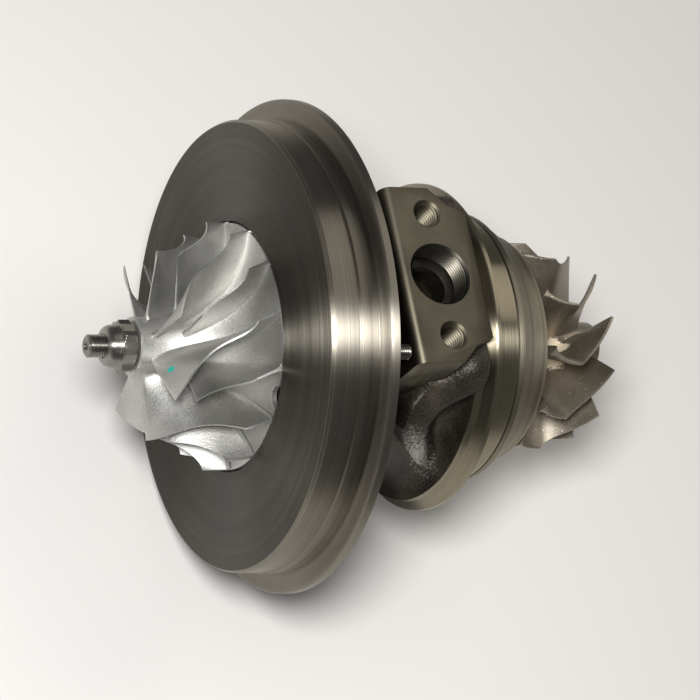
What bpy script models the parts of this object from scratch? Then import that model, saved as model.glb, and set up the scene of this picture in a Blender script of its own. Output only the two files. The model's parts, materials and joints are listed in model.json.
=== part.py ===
# Turbocharger cartridge: the bearing housing with its rotor, ready to fit between the two casings.
#
# The shaft lies along X, with the turbine towards +X, and the oil inlet faces +Z. A station is a
# distance along the shaft behind the backplate's front face. Lengths are in metres, angles in degrees.

import math

import bmesh
import bpy
from mathutils import Vector

# General
GAP = 0.0003
CORNER = 0.0007
MARGIN = 0.0010
LARGE_STEPS = 40
MEDIUM_STEPS = 28
SMALL_STEPS = 20
PIN_STEPS = 12

# Compressor backplate
PLATE_FACE_RADIUS = 0.0981
PLATE_LAND_RADIUS = 0.0991
PLATE_CHAMFER_LENGTH = 0.0014
PLATE_CHAMFER_DEPTH = 0.0003
PLATE_LAND_END = 0.0131
PLATE_STEP = 0.0007
SEAT_STATION = 0.0218
FLANGE_RADIUS = 0.109
FLANGE_RIM_WIDTH = 0.0040
FLANGE_TAPER_DEPTH = 0.0032
FLANGE_TAPER_DROP = 0.0087
POCKET_CLEARANCE = 0.0010
POCKET_FLOOR_WIDTH = 0.0030
PLATE_BORE_FRONT = 0.0085
PILOT_RADIUS = 0.060
PILOT_LENGTH = 0.0050
O_RING_RADIUS = 0.0011

# Compressor wheel
WHEEL_NOSE = -0.0457
WHEEL_NOSE_RADIUS = 0.0126
WHEEL_BACK = 0.0120
WHEEL_BACK_RADIUS = 0.0150
WHEEL_RADIUS = 0.0540
WHEEL_RIM_THICKNESS = 0.0022
WHEEL_RIM_LIP = 0.0040
WHEEL_BLADES = 7
WHEEL_LEAN = -34.2
WHEEL_WRAP = 45.5
WHEEL_EARLY_SHARE = 0.66
WHEEL_EARLY_POWER = 6.0
WHEEL_RAKE = 4.9
INDUCER_RADIUS = 0.0407
INDUCER_TIP = -0.0396
INDUCER_ROOT = -0.0405
EXDUCER_WIDTH = 0.0105
SPLITTER_START = 0.21
BLADE_TIP_THICKNESS = 0.0009
BLADE_ROOT_THICKNESS = 0.0020
BLADE_SINK = 0.0012
BALANCE_CUT_RADIUS = 0.0048
BALANCE_CUT_ANGLE = 137.0
NOSE_FLAT_DEPTH = 0.0007
NOSE_FLAT_LENGTH = 0.0048
NOSE_FLAT_ANGLE = 173.5

# Locknut and shaft
SHAFT_STICKOUT = 0.0076
SHAFT_TIP_RADIUS = 0.0050
NUT_LENGTH = 0.0124
NUT_POINT_RADIUS = 0.0114
NUT_POINT_LENGTH = 0.0066
NUT_DOME_RADIUS = 0.0096
NUT_NOSE_RADIUS = 0.0062
NUT_SIDES = 24
JOURNAL_RADIUS = 0.0080
HUB_RADIUS = 0.0140
HUB_SETBACK = 0.0023
WELD_SETBACK = 0.0020

# Thrust stack
SLINGER_RADIUS = 0.0130
SLINGER_LENGTH = 0.0097
SLINGER_GROOVE = 0.0040
COLLAR_RADIUS = 0.0170
COLLAR_THICKNESS = 0.0044
COLLAR_CLEARANCE = 0.0013
THRUST_THICKNESS = 0.0050
THRUST_RADIUS = 0.0300
THRUST_GROOVES = 6
THRUST_GROOVE_WIDTH = 0.0016
THRUST_GROOVE_DEPTH = 0.0006
SPACER_RADIUS = 0.0095
THRUST_RING_THICKNESS = 0.0027
PIN_RADIUS = 0.0020
PIN_CIRCLE = 0.0255
PIN_DEPTH = 0.0050

# Seal insert
INSERT_RADIUS = 0.0320
INSERT_WEB = 0.0092
INSERT_GROOVE = 0.0035
SKIRT_WALL = 0.0075
SKIRT_TAPER = 0.0020
SNAP_RING_THICKNESS = 0.0015
SNAP_RING_WIDTH = 0.0032
SNAP_RING_BITE = 0.0012
SNAP_RING_SPLIT = 0.0060
SEAL_RING_WIDTH = 0.0016
SEAL_RING_DEPTH = 0.0022
SEAL_RING_SPLIT = 0.0010
SEAL_RING_SETBACK = 0.0070

# Journal bearings
BEARING_RADIUS = 0.0122
BEARING_LENGTH = 0.0140
BEARING_HOLE_RADIUS = 0.0012
FRONT_BEARING_START = 0.0381
REAR_BEARING_START = 0.0807
CLIP_THICKNESS = 0.0012
CLIP_WALL = 0.0026
CLIP_SPLIT = 0.0040

# Bearing housing
HOUSING_FLANGE_RADIUS = 0.0960
HOUSING_RIM_THICKNESS = 0.0027
HOUSING_CONE_LENGTH = 0.0060
HOUSING_CONE_RADIUS = 0.0800
BODY_RADIUS = 0.0490
BODY_WAIST = 0.0560
FLARE_SETBACK = 0.0015
BAND_START = 0.0880
BAND_ROOT_RADIUS = 0.0696
BAND_RADIUS = 0.0745
BAND_SHOULDER = 0.0022
BAND_TAPER = 0.0031
BAND_RIM = 0.0025
TURBINE_PILOT_RADIUS = 0.0618
TURBINE_PILOT_END = 0.1131
END_RECESS_DEPTH = 0.0090
END_RECESS_RADIUS = 0.0520
END_RECESS_TAPER = 0.0040
END_RECESS_FLOOR = 0.0060
END_BOSS_RADIUS = 0.0215
END_BOSS_BASE = 0.0030
END_BOSS_TAPER = 0.0015
END_BOSS_SETBACK = 0.0025
CAVITY_START = 0.0460
CAVITY_END = 0.0900
CAVITY_INNER = 0.0180
CAVITY_OUTER = 0.0390
CAVITY_CORNER = 0.0080
WEB_THICKNESS = 0.0160
LOBE_START = 0.0490
LOBE_END = 0.0875
LOBE_TOP = 0.0615
LOBE_TOP_REACH = 0.0300
LOBE_CORNER_HEIGHT = 0.0425
LOBE_CORNER_REACH = 0.0550
LOBE_SIDE_HEIGHT = 0.0270
LOBE_SIDE_REACH = 0.0580
LOBE_FOOT_HEIGHT = 0.0040
LOBE_FOOT_REACH = 0.0480
LOBE_FRONT_HEIGHT = 0.0500
LOBE_MIDDLE = 0.0640
LOBE_MIDDLE_HEIGHT = 0.0220
LOBE_LOW_STATION = 0.0780
LOBE_LOW_HEIGHT = 0.0080

# Backplate studs
STUD_COUNT = 6
STUD_RADIUS = 0.0033
STUD_CIRCLE = 0.0890
STUD_START = 0.0180
STUD_END = 0.0410
STUD_ANGLE = 114.9

# Oil inlet and drain
PAD_STATION = 0.0665
PAD_HEIGHT = 0.0781
PAD_WIDTH = 0.0390
PAD_LENGTH = 0.0820
PAD_CORNER_LENGTH = 0.0115
PAD_CORNER_WIDTH = 0.0085
PAD_CORNER_STEP = 0.0035
PAD_CORNER_DROP = 0.0040
PAD_CORNER_RUN = 0.0080
PAD_EDGE_RADIUS = 0.0035
PAD_BOLT_SPACING = 0.0570
PAD_BOLT_RADIUS = 0.0051
PAD_BOLT_DEPTH = 0.0200
BLOCK_FOOT = 0.0200
INLET_RADIUS = 0.0130
INLET_DEPTH = 0.0130
GALLERY_RADIUS = 0.0095
GALLERY_DEPTH = 0.0420
FEED_RADIUS = 0.0020
FEED_REACH = 0.0015
DRAIN_HEIGHT = 0.0740
DRAIN_WIDTH = 0.0420
DRAIN_LENGTH = 0.0740
DRAIN_EDGE_RADIUS = 0.0100
DRAIN_RADIUS = 0.0150
DRAIN_PORT_END = 0.0260
DRAIN_BOLT_SPACING = 0.0500
DRAIN_BOLT_RADIUS = 0.0042
DRAIN_BOLT_DEPTH = 0.0160
THRUST_DRAIN_RADIUS = 0.0060
THRUST_DRAIN_DROP = 0.0065
THRUST_DRAIN_REACH = 0.0040

# Heat shield
SHIELD_THICKNESS = 0.0012
SHIELD_RIM_THICKNESS = 0.0027
SHIELD_RIM_RADIUS = 0.0618
SHIELD_RIM_LIP = 0.0040
SHIELD_LENGTH = 0.0224
SHIELD_END_RADIUS = 0.0503
SHIELD_BEND_LENGTH = 0.0060
SHIELD_BEND_RISE = 0.0026
SHIELD_BEND_DROP = 0.0020
SHIELD_BORE_CLEARANCE = 0.0020
SHIELD_TO_DISC = 0.0015

# Turbine wheel. Its stations are measured from the front of its disc.
TURBINE_BLADES = 11
TURBINE_LEAN = -8.9
TURBINE_WRAP = 31.1
TURBINE_WRAP_POWER = 1.53
TURBINE_BACK_TURN = 7.2
TURBINE_BACK_POWER = 2.35
TURBINE_RADIUS = 0.0487
TURBINE_DISC_THICKNESS = 0.0035
TURBINE_DISC_RADIUS = 0.0400
TURBINE_INLET_START = 0.0025
TURBINE_INLET_END = 0.0175
TURBINE_RADIAL_STATION = 0.0190
TURBINE_EXIT_TIP = 0.0396
TURBINE_EXIT_RADIUS = 0.0431
TURBINE_EXIT_HUB = 0.0410
TURBINE_HUB_RADIUS = 0.0120
TURBINE_ROOT_POWER = 1.3
TURBINE_SHROUD_POWER = 4.0
TURBINE_NOSE_LENGTH = 0.0532
TURBINE_NOSE_CHAMFER = 0.0016
TURBINE_TIP_THICKNESS = 0.0012
TURBINE_ROOT_THICKNESS = 0.0034

# What follows from the sizes above
NUT_END = WHEEL_NOSE - GAP
NUT_START = NUT_END - NUT_LENGTH
SHAFT_TIP = NUT_START - SHAFT_STICKOUT
PLATE_REAR = SEAT_STATION + FLANGE_RIM_WIDTH + FLANGE_TAPER_DEPTH
HOUSING_FRONT = PLATE_REAR + GAP
PILOT_FRONT = HOUSING_FRONT - PILOT_LENGTH
SHAFT_BORE = SHAFT_TIP_RADIUS + GAP
SLINGER_START = WHEEL_BACK + GAP
SLINGER_END = SLINGER_START + SLINGER_LENGTH
SLINGER_RING_STATION = SLINGER_START + SLINGER_GROOVE
COLLAR_START = SLINGER_END + GAP
COLLAR_END = COLLAR_START + COLLAR_THICKNESS
THRUST_START = COLLAR_END + GAP
THRUST_END = THRUST_START + THRUST_THICKNESS
THRUST_RING_START = THRUST_END + GAP
THRUST_RING_END = THRUST_RING_START + THRUST_RING_THICKNESS
SHOULDER = THRUST_RING_END + GAP
INSERT_START = SLINGER_START + GAP
INSERT_BORE = SLINGER_RADIUS + 2 * GAP
SNAP_RING_END = INSERT_START - GAP
SNAP_RING_START = SNAP_RING_END - SNAP_RING_THICKNESS
SNAP_RING_RADIUS = INSERT_RADIUS + SNAP_RING_BITE
BEARING_BORE = BEARING_RADIUS + GAP
HUB_START = REAR_BEARING_START + BEARING_LENGTH + CLIP_THICKNESS + HUB_SETBACK
HUB_BORE = HUB_RADIUS + 2 * GAP
BAND_END = BAND_START + BAND_SHOULDER + BAND_TAPER + BAND_RIM
SHIELD_END = TURBINE_PILOT_END + SHIELD_LENGTH
END_BOSS_END = SHIELD_END - END_BOSS_SETBACK
DISC_START = SHIELD_END + SHIELD_TO_DISC
WELD_STATION = DISC_START - WELD_SETBACK
TURBINE_NOSE = DISC_START + TURBINE_NOSE_LENGTH
FRONT_X = -(SHAFT_TIP + TURBINE_NOSE) / 2
PAD_X = FRONT_X + PAD_STATION
PAD_ANGLE = 113.56

collection = bpy.data.collections.new("turbo_cartridge")
cutters = bpy.data.collections.new("cutters")
materials = {}


def clear_scene():
    for item in list(bpy.data.objects):
        bpy.data.objects.remove(item, do_unlink=True)
    for group in (collection, cutters):
        bpy.context.scene.collection.children.link(group)


def add_material(name, colour, roughness, metallic):
    material = bpy.data.materials.new(name)
    material.use_nodes = True
    shader = material.node_tree.nodes["Principled BSDF"]
    shader.inputs["Base Color"].default_value = (*colour, 1.0)
    shader.inputs["Roughness"].default_value = roughness
    shader.inputs["Metallic"].default_value = metallic
    materials[name] = material


def add_object(name, mesh, material=None, at=(FRONT_X, 0, 0)):
    # With no material the object is a cutter or a piece of one, kept out of the model.
    item = bpy.data.objects.new(name, mesh)
    item.location = at
    if material:
        mesh.materials.append(materials[material])
        collection.objects.link(item)
    else:
        cutters.objects.link(item)
        item.hide_render = True
        item.display_type = "WIRE"
    return item


def turned(name, profile, steps=SMALL_STEPS, material=None):
    # The profile's (station, radius) points run from front to rear outside, then back through the bore.
    # They are laid down in reverse, which makes the turned surface face outwards.
    mesh = bpy.data.meshes.new(name)
    points = [(station, radius, 0) for station, radius in reversed(profile)]
    edges = [(i, i + 1) for i in range(len(points) - 1)]
    if profile[0][1] > 0:
        edges.append((len(points) - 1, 0))
    mesh.from_pydata(points, edges, [])
    item = add_object(name, mesh, material)
    screw = item.modifiers.new("turn", "SCREW")
    screw.axis = "X"
    screw.angle = math.tau
    screw.steps = screw.render_steps = steps
    screw.use_merge_vertices = True
    screw.merge_threshold = 0.00001
    screw.use_smooth_shade = False
    return item


def ring(name, start, end, inner, outer, material=None, steps=SMALL_STEPS):
    return turned(name, [(start, outer), (end, outer), (end, inner), (start, inner)], steps, material)


def cylinder(name, point, direction, length, radius, sides=16):
    # A cutter that starts at the point and runs along the direction.
    mesh = bpy.data.meshes.new(name)
    shape = bmesh.new()
    bmesh.ops.create_cone(shape, cap_ends=True, segments=sides, radius1=radius, radius2=radius, depth=length)
    bmesh.ops.translate(shape, verts=shape.verts, vec=(0, 0, length / 2))
    shape.to_mesh(mesh)
    shape.free()
    item = add_object(name, mesh, None, point)
    item.rotation_euler = Vector(direction).to_track_quat("Z", "Y").to_euler()
    return item


def prism(name, outline, axis, low, high, material=None, at=(FRONT_X, 0, 0)):
    # A flat outline drawn in the plane across the axis, given thickness from low to high.
    order = {"X": (2, 0, 1), "Y": (0, 2, 1), "Z": (0, 1, 2)}[axis]
    mesh = bpy.data.meshes.new(name)
    shape = bmesh.new()
    corners = []
    for u, v in outline:
        values = (u, v, low)
        corners.append(shape.verts.new([values[i] for i in order]))
    grown = bmesh.ops.extrude_face_region(shape, geom=[shape.faces.new(corners)])["geom"]
    moved = [element for element in grown if isinstance(element, bmesh.types.BMVert)]
    rise = (0, 0, high - low)
    bmesh.ops.translate(shape, verts=moved, vec=[rise[i] for i in order])
    bmesh.ops.recalc_face_normals(shape, faces=shape.faces)
    shape.to_mesh(mesh)
    shape.free()
    return add_object(name, mesh, material, at)


def box_outline(left, right, low, high):
    return [(left, low), (right, low), (right, high), (left, high)]


def arc(centre, radius, start, end, steps=5):
    angles = [math.radians(start + (end - start) * i / steps) for i in range(steps + 1)]
    return [(centre[0] + radius * math.cos(a), centre[1] + radius * math.sin(a)) for a in angles]


def combine(item, other, operation="DIFFERENCE"):
    boolean = item.modifiers.new(other.name, "BOOLEAN")
    boolean.operation = operation
    boolean.solver = "EXACT"
    boolean.object = other


def polar(station, radius, angle):
    return Vector((station, radius * math.cos(angle), radius * math.sin(angle)))


def quarter(start, end, axial_first, share):
    # A quarter of an ellipse between two (station, radius) points. It leaves the first one along the
    # shaft, or else radially, and the share runs from 0 to 1.
    slow, fast = 1 - math.cos(share * math.pi / 2), math.sin(share * math.pi / 2)
    along, out = (fast, slow) if axial_first else (slow, fast)
    return start[0] + (end[0] - start[0]) * along, start[1] + (end[1] - start[1]) * out


def quarters(start, end, axial_first, steps):
    return [quarter(start, end, axial_first, i / steps) for i in range(steps + 1)]


def add_blade(shape, surface, tip, root, flow_steps, span_steps):
    # The surface gives a point for a share of the flow path and a share of the span. Each side of the
    # blade is that surface moved along its normal, and a strip round the edge joins the two sides. The
    # thickness changes evenly from the root to the tip.
    reach = 0.01
    sides = []
    for side in (0.5, -0.5):
        rows = []
        for i in range(flow_steps + 1):
            row = []
            for j in range(span_steps + 1):
                flow, span = i / flow_steps, j / span_steps
                along = surface(flow + reach, span) - surface(flow - reach, span)
                across = surface(flow, span + reach) - surface(flow, span - reach)
                offset = along.cross(across).normalized() * side * (root + (tip - root) * span)
                row.append(shape.verts.new(surface(flow, span) + offset))
            rows.append(row)
        sides.append(rows)
    front, back = sides
    for i in range(flow_steps):
        for j in range(span_steps):
            shape.faces.new((front[i][j], front[i + 1][j], front[i + 1][j + 1], front[i][j + 1]))
            shape.faces.new((back[i][j], back[i][j + 1], back[i + 1][j + 1], back[i + 1][j]))
    for i in range(flow_steps):
        shape.faces.new((front[i][0], back[i][0], back[i + 1][0], front[i + 1][0]))
        shape.faces.new((front[i][-1], front[i + 1][-1], back[i + 1][-1], back[i][-1]))
    for j in range(span_steps):
        shape.faces.new((front[0][j], front[0][j + 1], back[0][j + 1], back[0][j]))
        shape.faces.new((front[-1][j], back[-1][j], back[-1][j + 1], front[-1][j + 1]))


def blade_row(name, surfaces, tip, root, flow_steps, span_steps):
    mesh = bpy.data.meshes.new(name)
    shape = bmesh.new()
    for surface in surfaces:
        add_blade(shape, surface, tip, root, flow_steps, span_steps)
    bmesh.ops.recalc_face_normals(shape, faces=shape.faces)
    shape.to_mesh(mesh)
    shape.free()
    return add_object(name, mesh)


def compressor_surface(angle, start):
    # The blade turns fast over the inducer and then slowly towards the rim, where its root runs ahead
    # of its tip by the rake. A splitter is the same surface from further along the flow.
    def surface(flow, span):
        share = start + (1 - start) * flow
        hub = quarter(
            (INDUCER_ROOT, WHEEL_NOSE_RADIUS - BLADE_SINK), (BLADE_SINK / 2, WHEEL_RADIUS), True, share
        )
        tip = quarter((INDUCER_TIP, INDUCER_RADIUS), (-EXDUCER_WIDTH, WHEEL_RADIUS), True, share)
        station = hub[0] + (tip[0] - hub[0]) * span
        radius = hub[1] + (tip[1] - hub[1]) * span
        early = 1 - (1 - share) ** WHEEL_EARLY_POWER
        turn = WHEEL_WRAP * (WHEEL_EARLY_SHARE * early + (1 - WHEEL_EARLY_SHARE) * share)
        rake = WHEEL_RAKE * share * (1 - span)
        return polar(station, radius, math.radians(PAD_ANGLE - WHEEL_LEAN - turn - rake - angle))

    return surface


def compressor_wheel():
    lip = (WHEEL_RIM_THICKNESS, WHEEL_RADIUS - WHEEL_RIM_LIP)
    hub = turned(
        "compressor_wheel",
        [
            (WHEEL_NOSE, WHEEL_NOSE_RADIUS - CORNER),
            (WHEEL_NOSE + CORNER, WHEEL_NOSE_RADIUS),
            *quarters((INDUCER_ROOT, WHEEL_NOSE_RADIUS), (0, WHEEL_RADIUS), True, 7),
            (WHEEL_RIM_THICKNESS, WHEEL_RADIUS),
            *quarters(lip, (WHEEL_BACK, WHEEL_BACK_RADIUS), False, 4),
            (WHEEL_BACK, SHAFT_BORE),
            (WHEEL_NOSE, SHAFT_BORE),
        ],
        LARGE_STEPS,
        "cast_aluminium",
    )
    pitch = 360 / WHEEL_BLADES
    full = [compressor_surface(pitch * i, 0) for i in range(WHEEL_BLADES)]
    split = [compressor_surface(pitch * (i + 0.5), SPLITTER_START) for i in range(WHEEL_BLADES)]
    sizes = (BLADE_TIP_THICKNESS, BLADE_ROOT_THICKNESS)
    combine(hub, blade_row("full_blades", full, *sizes, 8, 2), "UNION")
    combine(hub, blade_row("splitter_blades", split, *sizes, 6, 2), "UNION")
    # Metal taken off the rim and off the nose brings the finished rotor into balance.
    angle = math.radians(BALANCE_CUT_ANGLE)
    point = Vector((FRONT_X, 0, 0)) + polar(-2 * BALANCE_CUT_RADIUS, WHEEL_RADIUS, angle)
    length = 2 * BALANCE_CUT_RADIUS + WHEEL_RIM_THICKNESS + MARGIN
    combine(hub, cylinder("rim_balance_cut", point, (1, 0, 0), length, BALANCE_CUT_RADIUS, 14))
    low, high = WHEEL_NOSE_RADIUS - NOSE_FLAT_DEPTH, WHEEL_NOSE_RADIUS + MARGIN
    outline = box_outline(-WHEEL_NOSE_RADIUS, WHEEL_NOSE_RADIUS, low, high)
    flat = prism("nose_balance_flat", outline, "X", WHEEL_NOSE - MARGIN, WHEEL_NOSE + NOSE_FLAT_LENGTH)
    flat.rotation_euler = (math.radians(NOSE_FLAT_ANGLE - 90), 0, 0)
    combine(hub, flat)


def turbine_surface(angle):
    # The blade lies along radii of the wheel, so its turn depends on the station alone. It is turned
    # back a little behind the disc, stands straight at one station and turns on towards the exit. The
    # root line runs closer to the disc than the hub's contour does, which sinks the blade in the hub.
    def surface(flow, span):
        slow, fast = 1 - math.cos(flow * math.pi / 2), math.sin(flow * math.pi / 2)
        along = slow ** TURBINE_ROOT_POWER
        hub_station = TURBINE_INLET_START + (TURBINE_EXIT_HUB - TURBINE_INLET_START) * along
        hub_radius = TURBINE_RADIUS + (TURBINE_HUB_RADIUS - BLADE_SINK - TURBINE_RADIUS) * fast
        tip_station = TURBINE_INLET_END + (TURBINE_EXIT_TIP - TURBINE_INLET_END) * flow
        drop = (1 - flow) ** TURBINE_SHROUD_POWER
        tip_radius = TURBINE_EXIT_RADIUS + (TURBINE_RADIUS - TURBINE_EXIT_RADIUS) * drop
        station = hub_station + (tip_station - hub_station) * span
        radius = hub_radius + (tip_radius - hub_radius) * span
        past = (station - TURBINE_RADIAL_STATION) / (TURBINE_EXIT_HUB - TURBINE_RADIAL_STATION)
        before = (TURBINE_RADIAL_STATION - station) / (TURBINE_RADIAL_STATION - TURBINE_INLET_START)
        turn = TURBINE_WRAP * max(past, 0) ** TURBINE_WRAP_POWER
        turn += TURBINE_BACK_TURN * max(before, 0) ** TURBINE_BACK_POWER
        return polar(DISC_START + station, radius, math.radians(PAD_ANGLE - TURBINE_LEAN - turn - angle))

    return surface


def turbine_wheel():
    contour_start = (DISC_START + TURBINE_DISC_THICKNESS, TURBINE_DISC_RADIUS)
    contour_end = (DISC_START + TURBINE_EXIT_HUB, TURBINE_HUB_RADIUS)
    hub = turned(
        "turbine_wheel",
        [
            (WELD_STATION + GAP, 0),
            (WELD_STATION + GAP, HUB_RADIUS),
            (DISC_START, HUB_RADIUS + CORNER),
            (DISC_START, TURBINE_DISC_RADIUS),
            *quarters(contour_start, contour_end, False, 8),
            (TURBINE_NOSE - TURBINE_NOSE_CHAMFER, TURBINE_HUB_RADIUS),
            (TURBINE_NOSE, TURBINE_HUB_RADIUS - TURBINE_NOSE_CHAMFER),
            (TURBINE_NOSE, 0),
        ],
        MEDIUM_STEPS,
        "nickel_alloy",
    )
    pitch = 360 / TURBINE_BLADES
    blades = [turbine_surface(pitch * i) for i in range(TURBINE_BLADES)]
    row = blade_row("turbine_blades", blades, TURBINE_TIP_THICKNESS, TURBINE_ROOT_THICKNESS, 8, 3)
    combine(hub, row, "UNION")


def turbine_ring_stations():
    last = END_BOSS_END - SEAL_RING_SETBACK
    return [last - 2 * SEAL_RING_WIDTH - 4 * GAP, last]


def rotor_shaft():
    seat = HUB_RADIUS - SEAL_RING_DEPTH
    grooves = []
    for start in turbine_ring_stations():
        grooves += [(start - GAP, HUB_RADIUS), (start - GAP, seat)]
        grooves += [(start + SEAL_RING_WIDTH + GAP, seat), (start + SEAL_RING_WIDTH + GAP, HUB_RADIUS)]
    turned(
        "rotor_shaft",
        [
            (SHAFT_TIP, 0),
            (SHAFT_TIP, SHAFT_TIP_RADIUS - CORNER),
            (SHAFT_TIP + CORNER, SHAFT_TIP_RADIUS),
            (SHOULDER, SHAFT_TIP_RADIUS),
            (SHOULDER, JOURNAL_RADIUS),
            (HUB_START, JOURNAL_RADIUS),
            (HUB_START + CORNER, HUB_RADIUS),
            *grooves,
            (WELD_STATION, HUB_RADIUS),
            (WELD_STATION, 0),
        ],
        SMALL_STEPS,
        "ground_steel",
    )


def split(item, start, end, inner, outer, width, angle):
    # Opens a ring on one side, so that it can be sprung into its groove.
    outline = box_outline(inner - MARGIN, outer + MARGIN, -width / 2, width / 2)
    slot = prism(item.name + "_slot", outline, "X", start - MARGIN, end + MARGIN)
    slot.rotation_euler = (math.radians(angle), 0, 0)
    combine(item, slot)


def seal_ring(name, start, outer, angle):
    end, inner = start + SEAL_RING_WIDTH, outer - SEAL_RING_DEPTH
    item = ring(name, start, end, inner, outer, "spring_steel")
    split(item, start, end, inner, outer, SEAL_RING_SPLIT, angle)


def seal_rings():
    for number, start in enumerate(turbine_ring_stations(), 1):
        seal_ring(f"turbine_seal_ring_{number}", start, HUB_BORE - GAP, 180 * number)
    seal_ring("compressor_seal_ring", SLINGER_RING_STATION, INSERT_BORE - GAP, 90)


def locknut():
    point_start = NUT_END - NUT_POINT_LENGTH
    nut = turned(
        "compressor_locknut",
        [
            *quarters((NUT_START, NUT_NOSE_RADIUS), (point_start, NUT_DOME_RADIUS), False, 4),
            (NUT_END, NUT_DOME_RADIUS),
            (NUT_END, SHAFT_BORE),
            (NUT_START, SHAFT_BORE),
        ],
        NUT_SIDES,
        "ground_steel",
    )
    # Two hexagons, turned by half a side, leave twelve points and twelve notches.
    valley = NUT_POINT_RADIUS * math.cos(math.radians(30)) / math.cos(math.radians(15))
    outline = []
    for i in range(NUT_SIDES):
        angle = i * math.tau / NUT_SIDES
        radius = valley if i % 2 else NUT_POINT_RADIUS
        outline.append((radius * math.cos(angle), radius * math.sin(angle)))
    points = prism("locknut_points", outline, "X", point_start, NUT_END - CORNER)
    middle = NUT_DOME_RADIUS - CORNER
    profile = [(NUT_START, 0), (NUT_START, middle), (NUT_END, middle), (NUT_END, 0)]
    combine(points, turned("locknut_middle", profile, NUT_SIDES))
    combine(nut, points, "UNION")


def oil_slinger():
    groove_end = SLINGER_RING_STATION + SEAL_RING_WIDTH + GAP
    seat = INSERT_BORE - SEAL_RING_DEPTH - 2 * GAP
    turned(
        "oil_slinger",
        [
            (SLINGER_START, SLINGER_RADIUS),
            (SLINGER_RING_STATION - GAP, SLINGER_RADIUS),
            (SLINGER_RING_STATION - GAP, seat),
            (groove_end, seat),
            (groove_end, SLINGER_RADIUS),
            (SLINGER_END, SLINGER_RADIUS),
            (SLINGER_END, SHAFT_BORE),
            (SLINGER_START, SHAFT_BORE),
        ],
        SMALL_STEPS,
        "ground_steel",
    )


def thrust_stack():
    ring("thrust_collar", COLLAR_START, COLLAR_END, SHAFT_BORE, COLLAR_RADIUS, "ground_steel")
    ring("thrust_spacer", THRUST_START, THRUST_END, SHAFT_BORE, SPACER_RADIUS, "ground_steel")
    ring("thrust_ring", THRUST_RING_START, THRUST_RING_END, SHAFT_BORE, COLLAR_RADIUS, "ground_steel")
    plate = ring("thrust_bearing", THRUST_START, THRUST_END, SPACER_RADIUS + GAP, THRUST_RADIUS, "bronze")
    combine(plate, pin_hole("thrust_hole", THRUST_START - MARGIN, THRUST_END + MARGIN))
    # The lands carry the collar, with an oil groove between each two.
    half = THRUST_GROOVE_WIDTH / 2
    outline = box_outline(SPACER_RADIUS, COLLAR_RADIUS + MARGIN, -half, half)
    for i in range(THRUST_GROOVES):
        groove = prism(
            f"thrust_groove_{i}", outline, "X", THRUST_START - MARGIN, THRUST_START + THRUST_GROOVE_DEPTH
        )
        groove.rotation_euler = (math.tau * (i + 0.5) / THRUST_GROOVES, 0, 0)
        combine(plate, groove)
    pin_end = THRUST_END + PIN_DEPTH
    pin = turned(
        "thrust_bearing_pin",
        [(THRUST_START, 0), (THRUST_START, PIN_RADIUS), (pin_end, PIN_RADIUS), (pin_end, 0)],
        PIN_STEPS,
        "ground_steel",
    )
    pin.location.z = PIN_CIRCLE


def pin_hole(name, start, end):
    point = (FRONT_X + start, 0, PIN_CIRCLE)
    return cylinder(name, point, (1, 0, 0), end - start, PIN_RADIUS + GAP, PIN_STEPS)


def seal_insert():
    web_end = INSERT_START + INSERT_WEB
    skirt_end = THRUST_START - GAP
    inner = INSERT_RADIUS - SKIRT_WALL
    groove = INSERT_START + INSERT_GROOVE
    seat = INSERT_RADIUS - 2 * O_RING_RADIUS - GAP
    width = 2 * O_RING_RADIUS + 2 * GAP
    turned(
        "seal_insert",
        [
            (INSERT_START, INSERT_RADIUS - CORNER),
            (INSERT_START + CORNER, INSERT_RADIUS),
            (groove, INSERT_RADIUS),
            (groove, seat),
            (groove + width, seat),
            (groove + width, INSERT_RADIUS),
            (skirt_end, INSERT_RADIUS),
            (skirt_end, inner),
            (web_end, inner - SKIRT_TAPER),
            (web_end, INSERT_BORE),
            (INSERT_START, INSERT_BORE),
        ],
        MEDIUM_STEPS,
        "machined_iron",
    )
    o_ring("insert_o_ring", groove + width / 2, INSERT_RADIUS - O_RING_RADIUS)
    inner = SNAP_RING_RADIUS - SNAP_RING_WIDTH
    snap = ring(
        "insert_retaining_ring",
        SNAP_RING_START,
        SNAP_RING_END,
        inner,
        SNAP_RING_RADIUS,
        "spring_steel",
        MEDIUM_STEPS,
    )
    split(snap, SNAP_RING_START, SNAP_RING_END, inner, SNAP_RING_RADIUS, SNAP_RING_SPLIT, 0)


def o_ring(name, station, radius, sides=6):
    section = arc((station, radius), O_RING_RADIUS, 180, -180, sides)[:-1]
    return turned(name, section, MEDIUM_STEPS, "seal_rubber")


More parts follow.
